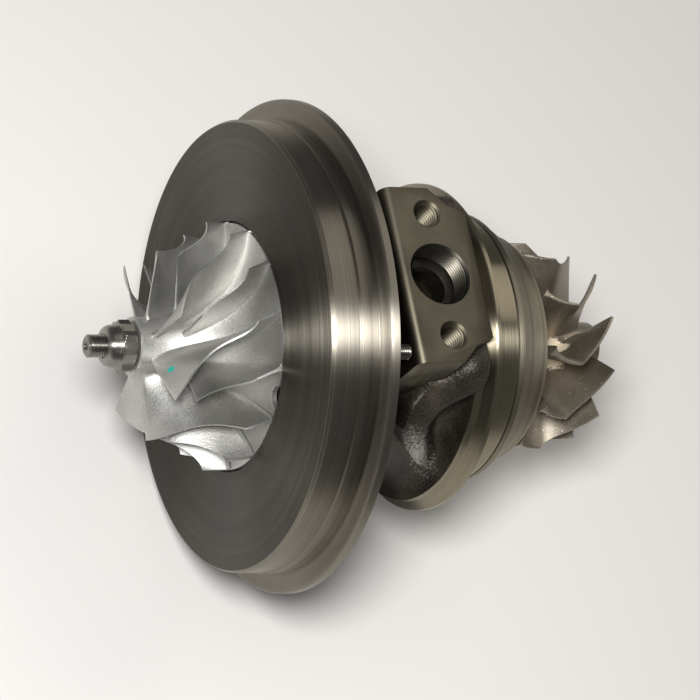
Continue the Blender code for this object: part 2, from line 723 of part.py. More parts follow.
def backplate():
    flange_end = SEAT_STATION + FLANGE_RIM_WIDTH
    bore = INSERT_RADIUS + GAP
    groove_radius = SNAP_RING_RADIUS + GAP
    pocket_radius = WHEEL_RADIUS + POCKET_CLEARANCE
    pocket_floor = WHEEL_RIM_THICKNESS + POCKET_CLEARANCE
    land = PLATE_LAND_RADIUS + PLATE_STEP
    plate = turned(
        "compressor_backplate",
        [
            (0, pocket_radius),
            (0, PLATE_FACE_RADIUS),
            (PLATE_CHAMFER_LENGTH, PLATE_LAND_RADIUS - PLATE_CHAMFER_DEPTH),
            (PLATE_LAND_END, PLATE_LAND_RADIUS),
            (PLATE_LAND_END + PLATE_STEP, land),
            (SEAT_STATION, land),
            (SEAT_STATION, FLANGE_RADIUS - CORNER),
            (SEAT_STATION + CORNER, FLANGE_RADIUS),
            (flange_end, FLANGE_RADIUS),
            (PLATE_REAR, FLANGE_RADIUS - FLANGE_TAPER_DROP),
            (PLATE_REAR, PILOT_RADIUS + GAP),
            (PILOT_FRONT - GAP, PILOT_RADIUS + GAP),
            (PILOT_FRONT - GAP, bore),
            (SNAP_RING_END + GAP, bore),
            (SNAP_RING_END + GAP, groove_radius),
            (SNAP_RING_START - GAP, groove_radius),
            (SNAP_RING_START - GAP, bore),
            (PLATE_BORE_FRONT, bore),
            (pocket_floor, WHEEL_RADIUS - WHEEL_RIM_LIP - POCKET_FLOOR_WIDTH),
            (pocket_floor, pocket_radius),
        ],
        LARGE_STEPS,
        "turned_steel",
    )
    for cutter in stud_holes("plate_hole", STUD_START - GAP, PLATE_REAR + MARGIN):
        combine(plate, cutter)


def stud_places():
    for i in range(STUD_COUNT):
        angle = math.radians(STUD_ANGLE + 360 * i / STUD_COUNT)
        yield i + 1, STUD_CIRCLE * math.cos(angle), STUD_CIRCLE * math.sin(angle)


def stud_holes(name, start, end):
    holes = []
    for number, y, z in stud_places():
        point = (FRONT_X + start, y, z)
        radius = STUD_RADIUS + GAP
        holes.append(cylinder(f"{name}_{number}", point, (1, 0, 0), end - start, radius, PIN_STEPS))
    return holes


def backplate_studs():
    for number, y, z in stud_places():
        stud = turned(
            f"backplate_stud_{number}",
            [
                (STUD_START, 0),
                (STUD_START, STUD_RADIUS),
                (STUD_END - CORNER, STUD_RADIUS),
                (STUD_END, STUD_RADIUS - CORNER),
                (STUD_END, 0),
            ],
            PIN_STEPS,
            "ground_steel",
        )
        stud.location.y = y
        stud.location.z = z


def bearing_grooves(station):
    # The two spring clips that keep a floating bearing in its bore.
    return [station - GAP - CLIP_THICKNESS, station + BEARING_LENGTH + GAP]


def journal_bearings():
    number = 0
    reach = BEARING_RADIUS + MARGIN
    outer = BEARING_BORE + CLIP_WALL / 2 - GAP
    inner = outer - CLIP_WALL
    for name, station in (("compressor", FRONT_BEARING_START), ("turbine", REAR_BEARING_START)):
        end = station + BEARING_LENGTH
        bore = JOURNAL_RADIUS + GAP
        bush = ring(f"{name}_journal_bearing", station, end, bore, BEARING_RADIUS, "bronze")
        for i in range(2):
            angle = math.radians(90 * i + 45)
            direction = Vector((0, math.cos(angle), math.sin(angle)))
            point = Vector((FRONT_X + (station + end) / 2, 0, 0)) - direction * reach
            length = 2 * reach
            hole = cylinder(f"{name}_oil_hole_{i}", point, direction, length, BEARING_HOLE_RADIUS, 8)
            combine(bush, hole)
        for start in bearing_grooves(station):
            number += 1
            clip_end = start + CLIP_THICKNESS
            clip = ring(f"bearing_retaining_ring_{number}", start, clip_end, inner, outer, "spring_steel")
            split(clip, start, clip_end, inner, outer, CLIP_SPLIT, -90)


def housing_outside():
    rim_end = HOUSING_FRONT + HOUSING_RIM_THICKNESS
    cone_end = (rim_end + HOUSING_CONE_LENGTH, HOUSING_CONE_RADIUS)
    waist = (BODY_WAIST, BODY_RADIUS)
    taper_start = BAND_START + BAND_SHOULDER
    groove = HOUSING_FRONT - PILOT_LENGTH / 2 - O_RING_RADIUS - GAP
    width = 2 * O_RING_RADIUS + 2 * GAP
    seat = PILOT_RADIUS - 2 * O_RING_RADIUS - GAP
    return turned(
        "bearing_housing",
        [
            (PILOT_FRONT, 0),
            (PILOT_FRONT, PILOT_RADIUS - CORNER),
            (PILOT_FRONT + CORNER, PILOT_RADIUS),
            (groove, PILOT_RADIUS),
            (groove, seat),
            (groove + width, seat),
            (groove + width, PILOT_RADIUS),
            (HOUSING_FRONT, PILOT_RADIUS),
            (HOUSING_FRONT, HOUSING_FLANGE_RADIUS - CORNER),
            (HOUSING_FRONT + CORNER, HOUSING_FLANGE_RADIUS),
            (rim_end, HOUSING_FLANGE_RADIUS),
            *quarters(cone_end, waist, False, 4),
            *quarters(waist, (BAND_START - FLARE_SETBACK, BAND_ROOT_RADIUS), True, 5)[1:],
            (taper_start, BAND_ROOT_RADIUS),
            (taper_start + BAND_TAPER, BAND_RADIUS),
            (BAND_END - CORNER, BAND_RADIUS),
            (BAND_END, BAND_RADIUS - CORNER),
            (BAND_END, TURBINE_PILOT_RADIUS),
            (TURBINE_PILOT_END - CORNER, TURBINE_PILOT_RADIUS),
            (TURBINE_PILOT_END, TURBINE_PILOT_RADIUS - CORNER),
            (TURBINE_PILOT_END, END_RECESS_RADIUS),
            (TURBINE_PILOT_END - END_RECESS_DEPTH, END_RECESS_RADIUS - END_RECESS_TAPER),
            (TURBINE_PILOT_END - END_RECESS_DEPTH, END_BOSS_RADIUS + END_RECESS_FLOOR),
            (TURBINE_PILOT_END - END_BOSS_BASE, END_BOSS_RADIUS),
            (END_BOSS_END, END_BOSS_RADIUS - END_BOSS_TAPER),
            (END_BOSS_END, 0),
        ],
        LARGE_STEPS,
        "cast_iron",
    )


def housing_bore():
    deep = BEARING_BORE + CLIP_WALL / 2
    clips = []
    for station in (REAR_BEARING_START, FRONT_BEARING_START):
        for start in reversed(bearing_grooves(station)):
            low, high = start - GAP, start + CLIP_THICKNESS + GAP
            clips += [(high, BEARING_BORE), (high, deep), (low, deep), (low, BEARING_BORE)]
    collar_bore = COLLAR_RADIUS + COLLAR_CLEARANCE
    plate_bore = THRUST_RADIUS + GAP
    insert_bore = INSERT_RADIUS + 2 * GAP
    backward = [
        (END_BOSS_END + MARGIN, HUB_BORE),
        (HUB_START - 2 * GAP, HUB_BORE),
        (HUB_START - 2 * GAP, BEARING_BORE),
        *clips,
        (THRUST_RING_END + 2 * GAP, BEARING_BORE),
        (THRUST_RING_END + 2 * GAP, collar_bore),
        (THRUST_END + GAP, collar_bore),
        (THRUST_END + GAP, plate_bore),
        (THRUST_START, plate_bore),
        (THRUST_START, insert_bore),
        (PILOT_FRONT - MARGIN, insert_bore),
    ]
    profile = [(PILOT_FRONT - MARGIN, 0), *reversed(backward), (END_BOSS_END + MARGIN, 0)]
    return turned("housing_bore", profile, SMALL_STEPS)


def pad_block():
    # The inlet pad is a block with a rounded front edge and two stepped rear corners.
    half, end = PAD_WIDTH / 2, PAD_LENGTH / 2
    corner = (-half + PAD_EDGE_RADIUS, PAD_HEIGHT - PAD_EDGE_RADIUS)
    side = [
        (-half, BLOCK_FOOT),
        *arc(corner, PAD_EDGE_RADIUS, 180, 90),
        (half, PAD_HEIGHT),
        (half, BLOCK_FOOT),
    ]
    at = (PAD_X, 0, 0)
    block = prism("inlet_pad", side, "Y", -end, end, None, at)
    straight = end - PAD_CORNER_LENGTH
    step_1, step_2 = half - PAD_CORNER_WIDTH, half - PAD_CORNER_WIDTH - PAD_CORNER_STEP
    outline = [
        (half + MARGIN, straight),
        (step_1, straight + PAD_CORNER_STEP),
        (step_2, straight + PAD_CORNER_STEP + PAD_CORNER_DROP),
        (step_2 - PAD_CORNER_RUN, end),
        (step_2 - PAD_CORNER_RUN, end + MARGIN),
        (half + MARGIN, end + MARGIN),
    ]
    for side in (-1, 1):
        notch = [(u, side * v) for u, v in outline]
        low, high = BLOCK_FOOT - MARGIN, PAD_HEIGHT + MARGIN
        combine(block, prism(f"pad_corner_{side}", notch, "Z", low, high, None, at))
    return block


def lobes():
    # Cast shoulders under the two ends of the inlet pad. Seen along the shaft they spread down from the
    # pad, and from the side their front draws back towards the turbine flange.
    edge = [
        (LOBE_TOP_REACH, LOBE_TOP),
        (LOBE_CORNER_REACH, LOBE_CORNER_HEIGHT),
        (LOBE_SIDE_REACH, LOBE_SIDE_HEIGHT),
        (LOBE_FOOT_REACH, LOBE_FOOT_HEIGHT),
    ]
    across = edge + [(-y, z) for y, z in reversed(edge)]
    block = prism("pad_lobes", across, "X", LOBE_START, LOBE_END)
    side = [
        (LOBE_START - MARGIN, LOBE_TOP + MARGIN),
        (LOBE_START, LOBE_FRONT_HEIGHT),
        (LOBE_MIDDLE, LOBE_MIDDLE_HEIGHT),
        (LOBE_LOW_STATION, LOBE_LOW_HEIGHT),
        (LOBE_END + MARGIN, 0),
        (LOBE_END + MARGIN, LOBE_TOP + MARGIN),
    ]
    reach = LOBE_SIDE_REACH + MARGIN
    combine(block, prism("pad_lobes_side", side, "Y", -reach, reach), "INTERSECT")
    return block


def drain_block():
    half_w, half_l, r = DRAIN_WIDTH / 2, DRAIN_LENGTH / 2, DRAIN_EDGE_RADIUS
    outline = []
    for index, (su, sv) in enumerate(((1, 1), (-1, 1), (-1, -1), (1, -1))):
        outline += arc((su * (half_w - r), sv * (half_l - r)), r, 90 * index, 90 * index + 90, 3)
    return prism("drain_pad", outline, "Z", -DRAIN_HEIGHT, -BLOCK_FOOT, None, (PAD_X, 0, 0))


def cavity():
    # The oil falls from both bearings into one chamber round the bearing tube. A web across it carries
    # the oil drillings down to the bearings.
    shallow = CAVITY_OUTER - CAVITY_CORNER
    chamber = turned(
        "drain_chamber",
        [
            (CAVITY_START, CAVITY_INNER),
            (CAVITY_START, shallow),
            (CAVITY_START + CAVITY_CORNER, CAVITY_OUTER),
            (CAVITY_END - CAVITY_CORNER, CAVITY_OUTER),
            (CAVITY_END, shallow),
            (CAVITY_END, CAVITY_INNER),
        ],
        SMALL_STEPS,
    )
    outline = box_outline(-WEB_THICKNESS / 2, WEB_THICKNESS / 2, 0, CAVITY_OUTER + MARGIN)
    combine(chamber, prism("feed_web", outline, "X", CAVITY_START - MARGIN, CAVITY_END + MARGIN))
    return chamber


def bearing_housing():
    housing = housing_outside()
    combine(housing, pad_block(), "UNION")
    combine(housing, lobes(), "UNION")
    combine(housing, drain_block(), "UNION")
    combine(housing, housing_bore())
    combine(housing, cavity())
    for cutter in oil_ways() + stud_holes("housing_hole", HOUSING_FRONT - MARGIN, STUD_END):
        combine(housing, cutter)
    combine(housing, pin_hole("pin_hole", THRUST_END - MARGIN, THRUST_END + PIN_DEPTH + GAP))
    o_ring("backplate_o_ring", HOUSING_FRONT - PILOT_LENGTH / 2, PILOT_RADIUS - O_RING_RADIUS)


def oil_ways():
    # The ports, their tapped holes and the drillings between them and the bearings.
    down, up = (0, 0, -1), (0, 0, 1)
    top, bottom = PAD_HEIGHT + MARGIN, -DRAIN_HEIGHT - MARGIN
    port_length = DRAIN_HEIGHT + MARGIN - DRAIN_PORT_END
    ways = [
        cylinder("inlet_port", (PAD_X, 0, top), down, INLET_DEPTH + MARGIN, INLET_RADIUS, 28),
        cylinder("inlet_gallery", (PAD_X, 0, top), down, GALLERY_DEPTH + MARGIN, GALLERY_RADIUS, 20),
        cylinder("drain_port", (PAD_X, 0, bottom), up, port_length, DRAIN_RADIUS, 24),
    ]
    for side in (-1, 1):
        point = (PAD_X, side * PAD_BOLT_SPACING / 2, top)
        ways.append(cylinder(f"pad_bolt_{side}", point, down, PAD_BOLT_DEPTH + MARGIN, PAD_BOLT_RADIUS))
        point = (PAD_X, side * DRAIN_BOLT_SPACING / 2, bottom)
        ways.append(cylinder(f"drain_bolt_{side}", point, up, DRAIN_BOLT_DEPTH + MARGIN, DRAIN_BOLT_RADIUS))
    feed_top = Vector((PAD_X, 0, PAD_HEIGHT - GALLERY_DEPTH + 2 * MARGIN))
    for number, station in enumerate((FRONT_BEARING_START, REAR_BEARING_START)):
        foot = Vector((FRONT_X + station + BEARING_LENGTH / 2, 0, BEARING_BORE - FEED_REACH))
        run = foot - feed_top
        ways.append(cylinder(f"feed_{number}", feed_top, run, run.length, FEED_RADIUS, 8))
    thrust_floor = (FRONT_X + THRUST_END, 0, -COLLAR_RADIUS - THRUST_DRAIN_DROP)
    length = CAVITY_START - THRUST_END + THRUST_DRAIN_REACH
    ways.append(cylinder("thrust_drain", thrust_floor, (1, 0, 0), length, THRUST_DRAIN_RADIUS, 12))
    return ways


def heat_shield():
    # A pressed cup of even thickness, with a thicker rim that the turbine casing clamps.
    rim_start = TURBINE_PILOT_END + GAP
    rim_end = rim_start + SHIELD_RIM_THICKNESS
    bore = HUB_BORE + SHIELD_BORE_CLEARANCE
    bend_start = (SHIELD_END - SHIELD_BEND_LENGTH, SHIELD_END_RADIUS + SHIELD_BEND_RISE)
    bend = quarters(bend_start, (SHIELD_END, SHIELD_END_RADIUS - SHIELD_BEND_DROP), True, 3)
    thickness = SHIELD_THICKNESS
    inside = [(station - thickness, radius - thickness / 2) for station, radius in reversed(bend)]
    turned(
        "heat_shield",
        [
            (rim_start, SHIELD_RIM_RADIUS),
            (rim_end, SHIELD_RIM_RADIUS),
            *bend,
            (SHIELD_END, bore),
            (SHIELD_END - thickness, bore),
            *inside,
            (rim_start, SHIELD_RIM_RADIUS - SHIELD_RIM_LIP),
        ],
        LARGE_STEPS,
        "shield_steel",
    )


def build():
    clear_scene()
    add_material("turned_steel", (0.30, 0.29, 0.27), 0.28, 1.0)
    add_material("cast_aluminium", (0.72, 0.72, 0.71), 0.42, 1.0)
    add_material("ground_steel", (0.46, 0.45, 0.43), 0.25, 1.0)
    add_material("cast_iron", (0.10, 0.09, 0.08), 0.70, 0.6)
    add_material("machined_iron", (0.36, 0.34, 0.31), 0.40, 1.0)
    add_material("shield_steel", (0.42, 0.40, 0.36), 0.45, 1.0)
    add_material("nickel_alloy", (0.22, 0.20, 0.18), 0.50, 1.0)
    add_material("bronze", (0.55, 0.38, 0.18), 0.35, 1.0)
    add_material("spring_steel", (0.30, 0.30, 0.31), 0.35, 1.0)
    add_material("seal_rubber", (0.02, 0.02, 0.02), 0.80, 0.0)
    backplate()
    bearing_housing()
    backplate_studs()
    heat_shield()
    seal_insert()
    thrust_stack()
    oil_slinger()
    journal_bearings()
    seal_rings()
    rotor_shaft()
    turbine_wheel()
    compressor_wheel()
    locknut()


build()
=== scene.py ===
import json
import math

import bmesh
import bpy
import numpy as np
from mathutils import Matrix, Vector


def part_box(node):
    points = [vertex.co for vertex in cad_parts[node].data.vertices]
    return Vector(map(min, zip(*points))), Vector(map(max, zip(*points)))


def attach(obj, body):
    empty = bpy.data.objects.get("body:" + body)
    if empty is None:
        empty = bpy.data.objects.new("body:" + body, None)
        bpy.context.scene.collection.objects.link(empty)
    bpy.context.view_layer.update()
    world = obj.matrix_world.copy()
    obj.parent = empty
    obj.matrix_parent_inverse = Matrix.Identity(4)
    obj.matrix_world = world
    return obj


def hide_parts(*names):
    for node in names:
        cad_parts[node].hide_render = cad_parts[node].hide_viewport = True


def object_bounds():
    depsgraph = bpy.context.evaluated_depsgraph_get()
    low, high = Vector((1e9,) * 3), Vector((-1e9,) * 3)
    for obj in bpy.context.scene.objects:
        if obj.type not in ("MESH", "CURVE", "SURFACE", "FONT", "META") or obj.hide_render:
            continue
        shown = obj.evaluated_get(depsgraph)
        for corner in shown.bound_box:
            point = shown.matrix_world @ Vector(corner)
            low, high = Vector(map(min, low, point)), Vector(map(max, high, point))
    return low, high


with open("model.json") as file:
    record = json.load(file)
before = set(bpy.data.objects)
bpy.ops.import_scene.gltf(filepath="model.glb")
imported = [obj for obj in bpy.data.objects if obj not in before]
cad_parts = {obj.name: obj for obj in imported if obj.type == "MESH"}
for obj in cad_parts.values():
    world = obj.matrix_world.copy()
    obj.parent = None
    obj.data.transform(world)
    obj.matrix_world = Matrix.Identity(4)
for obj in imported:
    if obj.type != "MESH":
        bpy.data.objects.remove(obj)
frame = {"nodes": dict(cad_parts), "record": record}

# Turbocharger cartridge, with its shaft along X. A station is a distance behind the backplate's front
# face, and an outline is a list of (station, radius) pairs. All lengths are metres.
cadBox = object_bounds()
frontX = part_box("compressor_backplate")[0].x
padX = frontX + 0.0665  # both oil ports lie on this line across the shaft
wheelAngle = math.radians(113.56)  # both wheels' first blades are set from this angle


def hexColour(text):
    # sRGB hex to linear: the standard curve, channel by channel
    channels = np.array([int(text[i:i + 2], 16) for i in (1, 3, 5)]) / 255
    linear = np.where(channels <= 0.04045, channels / 12.92, ((channels + 0.055) / 1.055) ** 2.4)
    return (*linear.tolist(), 1.0)


def addNode(tree, kind, inputs=None, stops=None, into=None, **fields):
    # fields are settings, an input is a value or a socket to link from, and into takes the first output
    node = tree.nodes.new(kind)
    for key, value in fields.items():
        setattr(node, key, value)
    for key, value in (inputs or {}).items():
        if isinstance(value, bpy.types.NodeSocket):
            tree.links.new(value, node.inputs[key])
        else:
            node.inputs[key].default_value = value
    if stops:
        elements = node.color_ramp.elements
        elements.remove(elements[1])
        elements[0].position, elements[0].color = stops[0][0], hexColour(stops[0][1])
        for position, colour in stops[1:]:
            elements.new(position).color = hexColour(colour)
    if into:
        tree.links.new(node.outputs[0], into)
    return node.outputs


def newMaterial(v):
    # the material, its tree, its shader's sockets, and Object coordinates
    material = bpy.data.materials.new(v["name"])
    material.use_nodes = True
    tree = material.node_tree
    sockets = tree.nodes["Principled BSDF"].inputs
    sockets["Base Color"].default_value = hexColour(v["colours"][1])
    sockets["Metallic"].default_value = v["metallic"]
    sockets["Roughness"].default_value = v["roughness"]
    return material, tree, sockets, addNode(tree, "ShaderNodeTexCoord")["Object"]


def toneFrom(tree, sockets, v, layers):
    # The tone is the weighted sum of the layers. It picks the colour between the stops, and from 0.35 to
    # 0.65, where noise mostly lies, it moves the roughness by the spread each way.
    tone = 0.0
    for layer, weight in zip(layers, v["weights"]):
        inputs = {0: layer, 1: weight, 2: tone}
        tone = addNode(tree, "ShaderNodeMath", inputs, operation="MULTIPLY_ADD")[0]
    low, high = v["roughness"] * (1 - v["spread"]), v["roughness"] * (1 + v["spread"])
    inputs = {"Value": tone, 1: 0.35, 2: 0.65, 3: low, 4: high}
    addNode(tree, "ShaderNodeMapRange", inputs, into=sockets["Roughness"])
    stops = list(zip(v["stopPlaces"], v["colours"]))
    return addNode(tree, "ShaderNodeValToRGB", {0: tone}, stops)["Color"]


def markAlong(tree, sockets, v, first, second):
    # the tool's marks run square to both directions, and a highlight opens across the marks
    inputs = {0: first, 1: second}
    addNode(tree, "ShaderNodeVectorMath", inputs, into=sockets["Tangent"], operation="CROSS_PRODUCT")
    sockets["Anisotropic"].default_value = v["anisotropy"]
    sockets["Anisotropic Rotation"].default_value = 0.25


def dress(tree, sockets, v, colour, height):
    # the colour, and a relief as deep as the real one
    tree.links.new(colour, sockets["Base Color"])
    inputs = {"Height": height, "Strength": v["relief"], "Distance": v["depth"]}
    addNode(tree, "ShaderNodeBump", inputs, into=sockets["Normal"])


def turnedFinish(v):
    # Metal cut on a lathe: rings, across which a highlight opens into a bright wedge. The path is radius
    # plus a share of station, so that faces, lands and cones all carry rings. Real marks are about 0.2 mm
    # apart; these are wider, to show at all.
    material, tree, sockets, place = newMaterial(v)
    parts = addNode(tree, "ShaderNodeSeparateXYZ", {0: place})
    flat = addNode(tree, "ShaderNodeCombineXYZ", {1: parts[1], 2: parts[2]})[0]
    radius = addNode(tree, "ShaderNodeVectorMath", {0: flat}, operation="LENGTH")["Value"]
    inputs = {0: parts[0], 1: v["stationShare"], 2: radius}
    path = addNode(tree, "ShaderNodeMath", inputs, operation="MULTIPLY_ADD")[0]
    layers = []
    for scale in (v["bandShare"] / v["mark"], 1 / v["mark"]):
        inputs = {"W": path, "Scale": scale, "Detail": 2.0}
        layers.append(addNode(tree, "ShaderNodeTexNoise", inputs, noise_dimensions="1D")[0])
    smear = addNode(tree, "ShaderNodeTexNoise", {"Vector": place, "Scale": v["smear"], "Detail": 5.0})
    colour = toneFrom(tree, sockets, v, (*layers, smear[0]))
    markAlong(tree, sockets, v, (1, 0, 0), flat)
    dress(tree, sockets, v, colour, layers[1])
    return material


def castFinish(v):
    # Metal as it leaves its mould: a pebbled skin with slow changes of tone from oil and scale. Bright
    # specks are grains that blasting opened. A dab of paint, or on the cast iron a painted highlight, is
    # all that lies inside an ellipsoid, with a torn edge.
    material, tree, sockets, place = newMaterial(v)
    layers = []
    for scale, detail in ((1 / v["grain"], 2.0), (v["coarseShare"] / v["grain"], 3.0), (v["drift"], 5.0)):
        inputs = {"Vector": place, "Scale": scale, "Detail": detail}
        layers.append(addNode(tree, "ShaderNodeTexNoise", inputs)[0])
    fine, coarse, slow = layers
    colour = toneFrom(tree, sockets, v, (fine, slow))
    if "speck" in v:
        dots = addNode(tree, "ShaderNodeTexVoronoi", {"Vector": place, "Scale": 1 / v["speckSpacing"]})
        inputs = {0: dots["Distance"], 1: v["speckSize"]}
        inside = addNode(tree, "ShaderNodeMath", inputs, operation="LESS_THAN")[0]
        inputs = {0: inside, 6: colour, 7: hexColour(v["speck"])}
        colour = addNode(tree, "ShaderNodeMix", inputs, data_type="RGBA")[2]
    # the dab: real paint on the wheels, a painted highlight on the cast iron's shoulder
    if "dab" in v:
        inputs = {"Vector": place, "Location": v["dabPlace"], "Rotation": v["dabTurn"]}
        inputs["Scale"] = v["dabSize"]
        local = addNode(tree, "ShaderNodeMapping", inputs, vector_type="TEXTURE")[0]
        away = addNode(tree, "ShaderNodeVectorMath", {0: local}, operation="LENGTH")["Value"]
        inputs = {0: fine, 1: -v["dabTear"], 2: away}
        edge = addNode(tree, "ShaderNodeMath", inputs, operation="MULTIPLY_ADD")[0]
        low = 1 - v["dabTear"] / 2
        inputs = {"Value": edge, 1: low, 2: low - v["dabEdge"], 3: 0.0, 4: 1.0}
        inside = addNode(tree, "ShaderNodeMapRange", inputs)[0]
        inputs = {0: inside, 6: colour, 7: hexColour(v["dab"])}
        colour = addNode(tree, "ShaderNodeMix", inputs, data_type="RGBA")[2]
        inputs = {"Value": inside, 3: v["metallic"], 4: v["dabMetallic"]}
        addNode(tree, "ShaderNodeMapRange", inputs, into=sockets["Metallic"])
    inputs = {0: coarse, 1: v["pebble"], 2: fine}
    height = addNode(tree, "ShaderNodeMath", inputs, operation="MULTIPLY_ADD")[0]
    dress(tree, sockets, v, colour, height)
    return material


def milledFinish(v):
    # Iron under a face mill: satin with faint arcs, which are rings about a point outside the face. The
    # marks run square to the block's long side and over its round edge, so a highlight opens along it.
    material, tree, sockets, place = newMaterial(v)
    centre = addNode(tree, "ShaderNodeMapping", {"Vector": place, "Location": v["arcCentre"]})[0]
    # a wave texture of scale s repeats every 0.314 / s
    inputs = {"Vector": centre, "Scale": 0.314 / v["mark"], "Distortion": 0.7, "Detail": 2.0}
    arcs = addNode(tree, "ShaderNodeTexWave", inputs, wave_type="RINGS", rings_direction="Z")["Fac"]
    stain = addNode(tree, "ShaderNodeTexNoise", {"Vector": place, "Scale": v["stain"], "Detail": 2.0})
    colour = toneFrom(tree, sockets, v, (stain[0], arcs))
    markAlong(tree, sockets, v, v["longSide"], addNode(tree, "ShaderNodeNewGeometry")["Normal"])
    dress(tree, sockets, v, colour, arcs)
    return material


print("materials")
turned = {
    "metallic": 1.0, "stopPlaces": (0.36, 0.5, 0.64), "mark": 0.0006, "depth": 0.00001, "relief": 0.4,
    "anisotropy": 1.0, "stationShare": 0.83, "bandShare": 0.12, "smear": 26.0,
    "weights": (0.3, 0.35, 0.35), "spread": 0.12,
}
cast = {
    "stopPlaces": (0.35, 0.5, 0.65), "coarseShare": 0.22, "relief": 0.7, "weights": (0.35, 0.65),
    "spread": 0.15, "dabTurn": (0.0, 0.0, 0.0),
}
milled = {
    "metallic": 1.0, "stopPlaces": (0.35, 0.5, 0.65), "mark": 0.0006, "relief": 0.25,
    "arcCentre": (0.02, 0.16, 0.0), "longSide": (0.15, 1.0, 0.1), "stain": 55.0, "weights": (0.82, 0.18),
    "spread": 0.06,
}


def values(shared, name, colours, roughness, **own):
    # one material's values: what its kind shares, and its own
    return {**shared, "name": name, "colours": colours.split(), "roughness": roughness, **own}


turnedSteel = turnedFinish(values(turned, "turnedCarbonSteel", "#3E3C37 #4D4A44 #5F5C54", 0.42))
# a lighter copy for the rim and lands, a little smoother: painted sheen for their bright highlight band
paintedSheenTurnedSteel = turnedFinish(values(turned, "paintedSheenTurnedCarbonSteel", "#6F6B62 #7F7A70 #8F8A7E", 0.4))
# a fine last cut: sharp highlights, slightly yellow
finishTurnedIron = turnedFinish(
    values(turned, "finishTurnedCastIron", "#7C7664 #88816F #948D79", 0.3, depth=0.000005)
)
# spun over a form: dull, with wide soft rings
spunStainless = turnedFinish(values(
    turned, "spunStainlessSheet", "#6A6659 #807A6B #979080", 0.5, mark=0.0014, depth=0.00003,
    anisotropy=0.8,
))
groundSteel = turnedFinish(
    values(turned, "groundAlloySteel", "#75726C #86837D #97948D", 0.34, depth=0.000004, anisotropy=0.9)
)
# pale, with soft highlights, tiny bright specks and one dab of teal paint
blastedAluminium = castFinish(values(
    cast, "beadBlastedCastAluminium", "#A3A29D #B6B5B1 #CAC9C5", 0.5, metallic=0.94, grain=0.0008,
    pebble=0.4, depth=0.00016, drift=40.0, speck="#EDEDEB", speckSpacing=0.006, speckSize=0.05,
    dab="#22A79A", dabMetallic=0.3, dabTear=0.4, dabPlace=(frontX - 0.0376, -0.0178, 0.0185),
    dabSize=(0.0019, 0.002, 0.0028), dabEdge=0.1,
))
# soaked in oil: near black, coarse, glinting on its ridges, and one pale dab on the shoulder that is a
# painted highlight
sandCastIron = castFinish(values(
    cast, "oiledSandCastIron", "#1E1A14 #2F2A23 #453E34", 0.46, stopPlaces=(0.35, 0.5, 0.66),
    metallic=0.55, grain=0.0011, pebble=1.2, depth=0.0005, drift=55.0, dab="#A5A299", dabMetallic=0.55,
    dabTear=2.6, dabPlace=(frontX + 0.0725, -0.059, 0.02), dabTurn=(0.0, -0.56, 0.0),
    dabSize=(0.0062, 0.009, 0.023), dabEdge=1.0,
))
# brown-grey and matte, with scale specks and one cream patch at the hub
castNickelAlloy = castFinish(values(
    cast, "investmentCastNickelAlloy", "#7C7568 #928A7C #A69E90", 0.46, metallic=0.9, grain=0.0009,
    pebble=0.5, depth=0.00008, drift=45.0, speck="#D9D3C8", speckSpacing=0.004, speckSize=0.09,
    dab="#DDD0B8", dabMetallic=0.0, dabTear=0.8, dabPlace=(frontX + 0.1612, -0.0085, 0.0135),
    dabSize=(0.0072, 0.008, 0.0092), dabEdge=0.15,
))
milledIron = milledFinish(
    values(milled, "faceMilledCastIron", "#504C40 #5B564A #676254", 0.5, depth=0.00001, anisotropy=0.6)
)
# darker inside the port: painted shade, with glossier flanks
paintedShadeTappedIron = milledFinish(
    values(milled, "tappedCastIronPaintedShade", "#3A3833 #45423B #504D45", 0.36, depth=0.000006, anisotropy=0.3)
)
bearingBronze = turnedFinish(
    values(turned, "turnedBearingBronze", "#96704A #AC865C #C09A6E", 0.34, depth=0.00003, anisotropy=0.3)
)
springSteel = turnedFinish(
    values(turned, "temperedSpringSteel", "#4C4C4F #5C5C5F #6E6E70", 0.32, depth=0.00003, anisotropy=0.2)
)
mouldedRubber = castFinish(values(
    cast, "mouldedNitrileRubber", "#141414 #1C1C1C #262626", 0.62, metallic=0.0, grain=0.0006, pebble=0.3,
    depth=0.00003, drift=60.0,
))


def gridQuads(rows, columns, closeRows, closeColumns):
    # the four corners of each cell of a rows-by-columns grid, wrapping round where it is closed
    i = np.arange(rows if closeRows else rows - 1)
    j = np.arange(columns if closeColumns else columns - 1)
    i, j = [part.ravel() for part in np.meshgrid(i, j, indexing="ij")]
    nextI, nextJ = (i + 1) % rows, (j + 1) % columns
    rowStart, nextStart = i * columns, nextI * columns
    return np.stack([rowStart + j, nextStart + j, nextStart + nextJ, rowStart + nextJ], 1)


def addObject(name, data):
    thing = bpy.data.objects.new(name, data)
    bpy.context.scene.collection.objects.link(thing)
    return thing


def meshFrom(name, surfaces, material=None, sharpAngle=32):
    # the (points, faces) pairs become one mesh, its seams and poles are welded and its faces turned out
    points, faces, offset = [], [], 0
    for somePoints, faceGroups in surfaces:
        points += somePoints.reshape(-1, 3).tolist()
        for group in faceGroups:
            faces += (group + offset).tolist()
        offset = len(points)
    mesh = bpy.data.meshes.new(name)
    mesh.from_pydata(points, [], faces)
    shape = bmesh.new()
    shape.from_mesh(mesh)
    bmesh.ops.remove_doubles(shape, verts=shape.verts, dist=0.000002)
    bmesh.ops.recalc_face_normals(shape, faces=shape.faces)
    shape.to_mesh(mesh)
    shape.free()
    piece = addObject(name, mesh)
    if material:
        mesh.materials.append(material)
    shadeSmooth(piece, sharpAngle)
    return piece


def shadeSmooth(piece, sharpAngle=32):
    # smooth, but for edges that turn by more than the angle, in degrees
    piece.data.shade_smooth()
    piece.data.set_sharp_from_angle(angle=math.radians(sharpAngle))


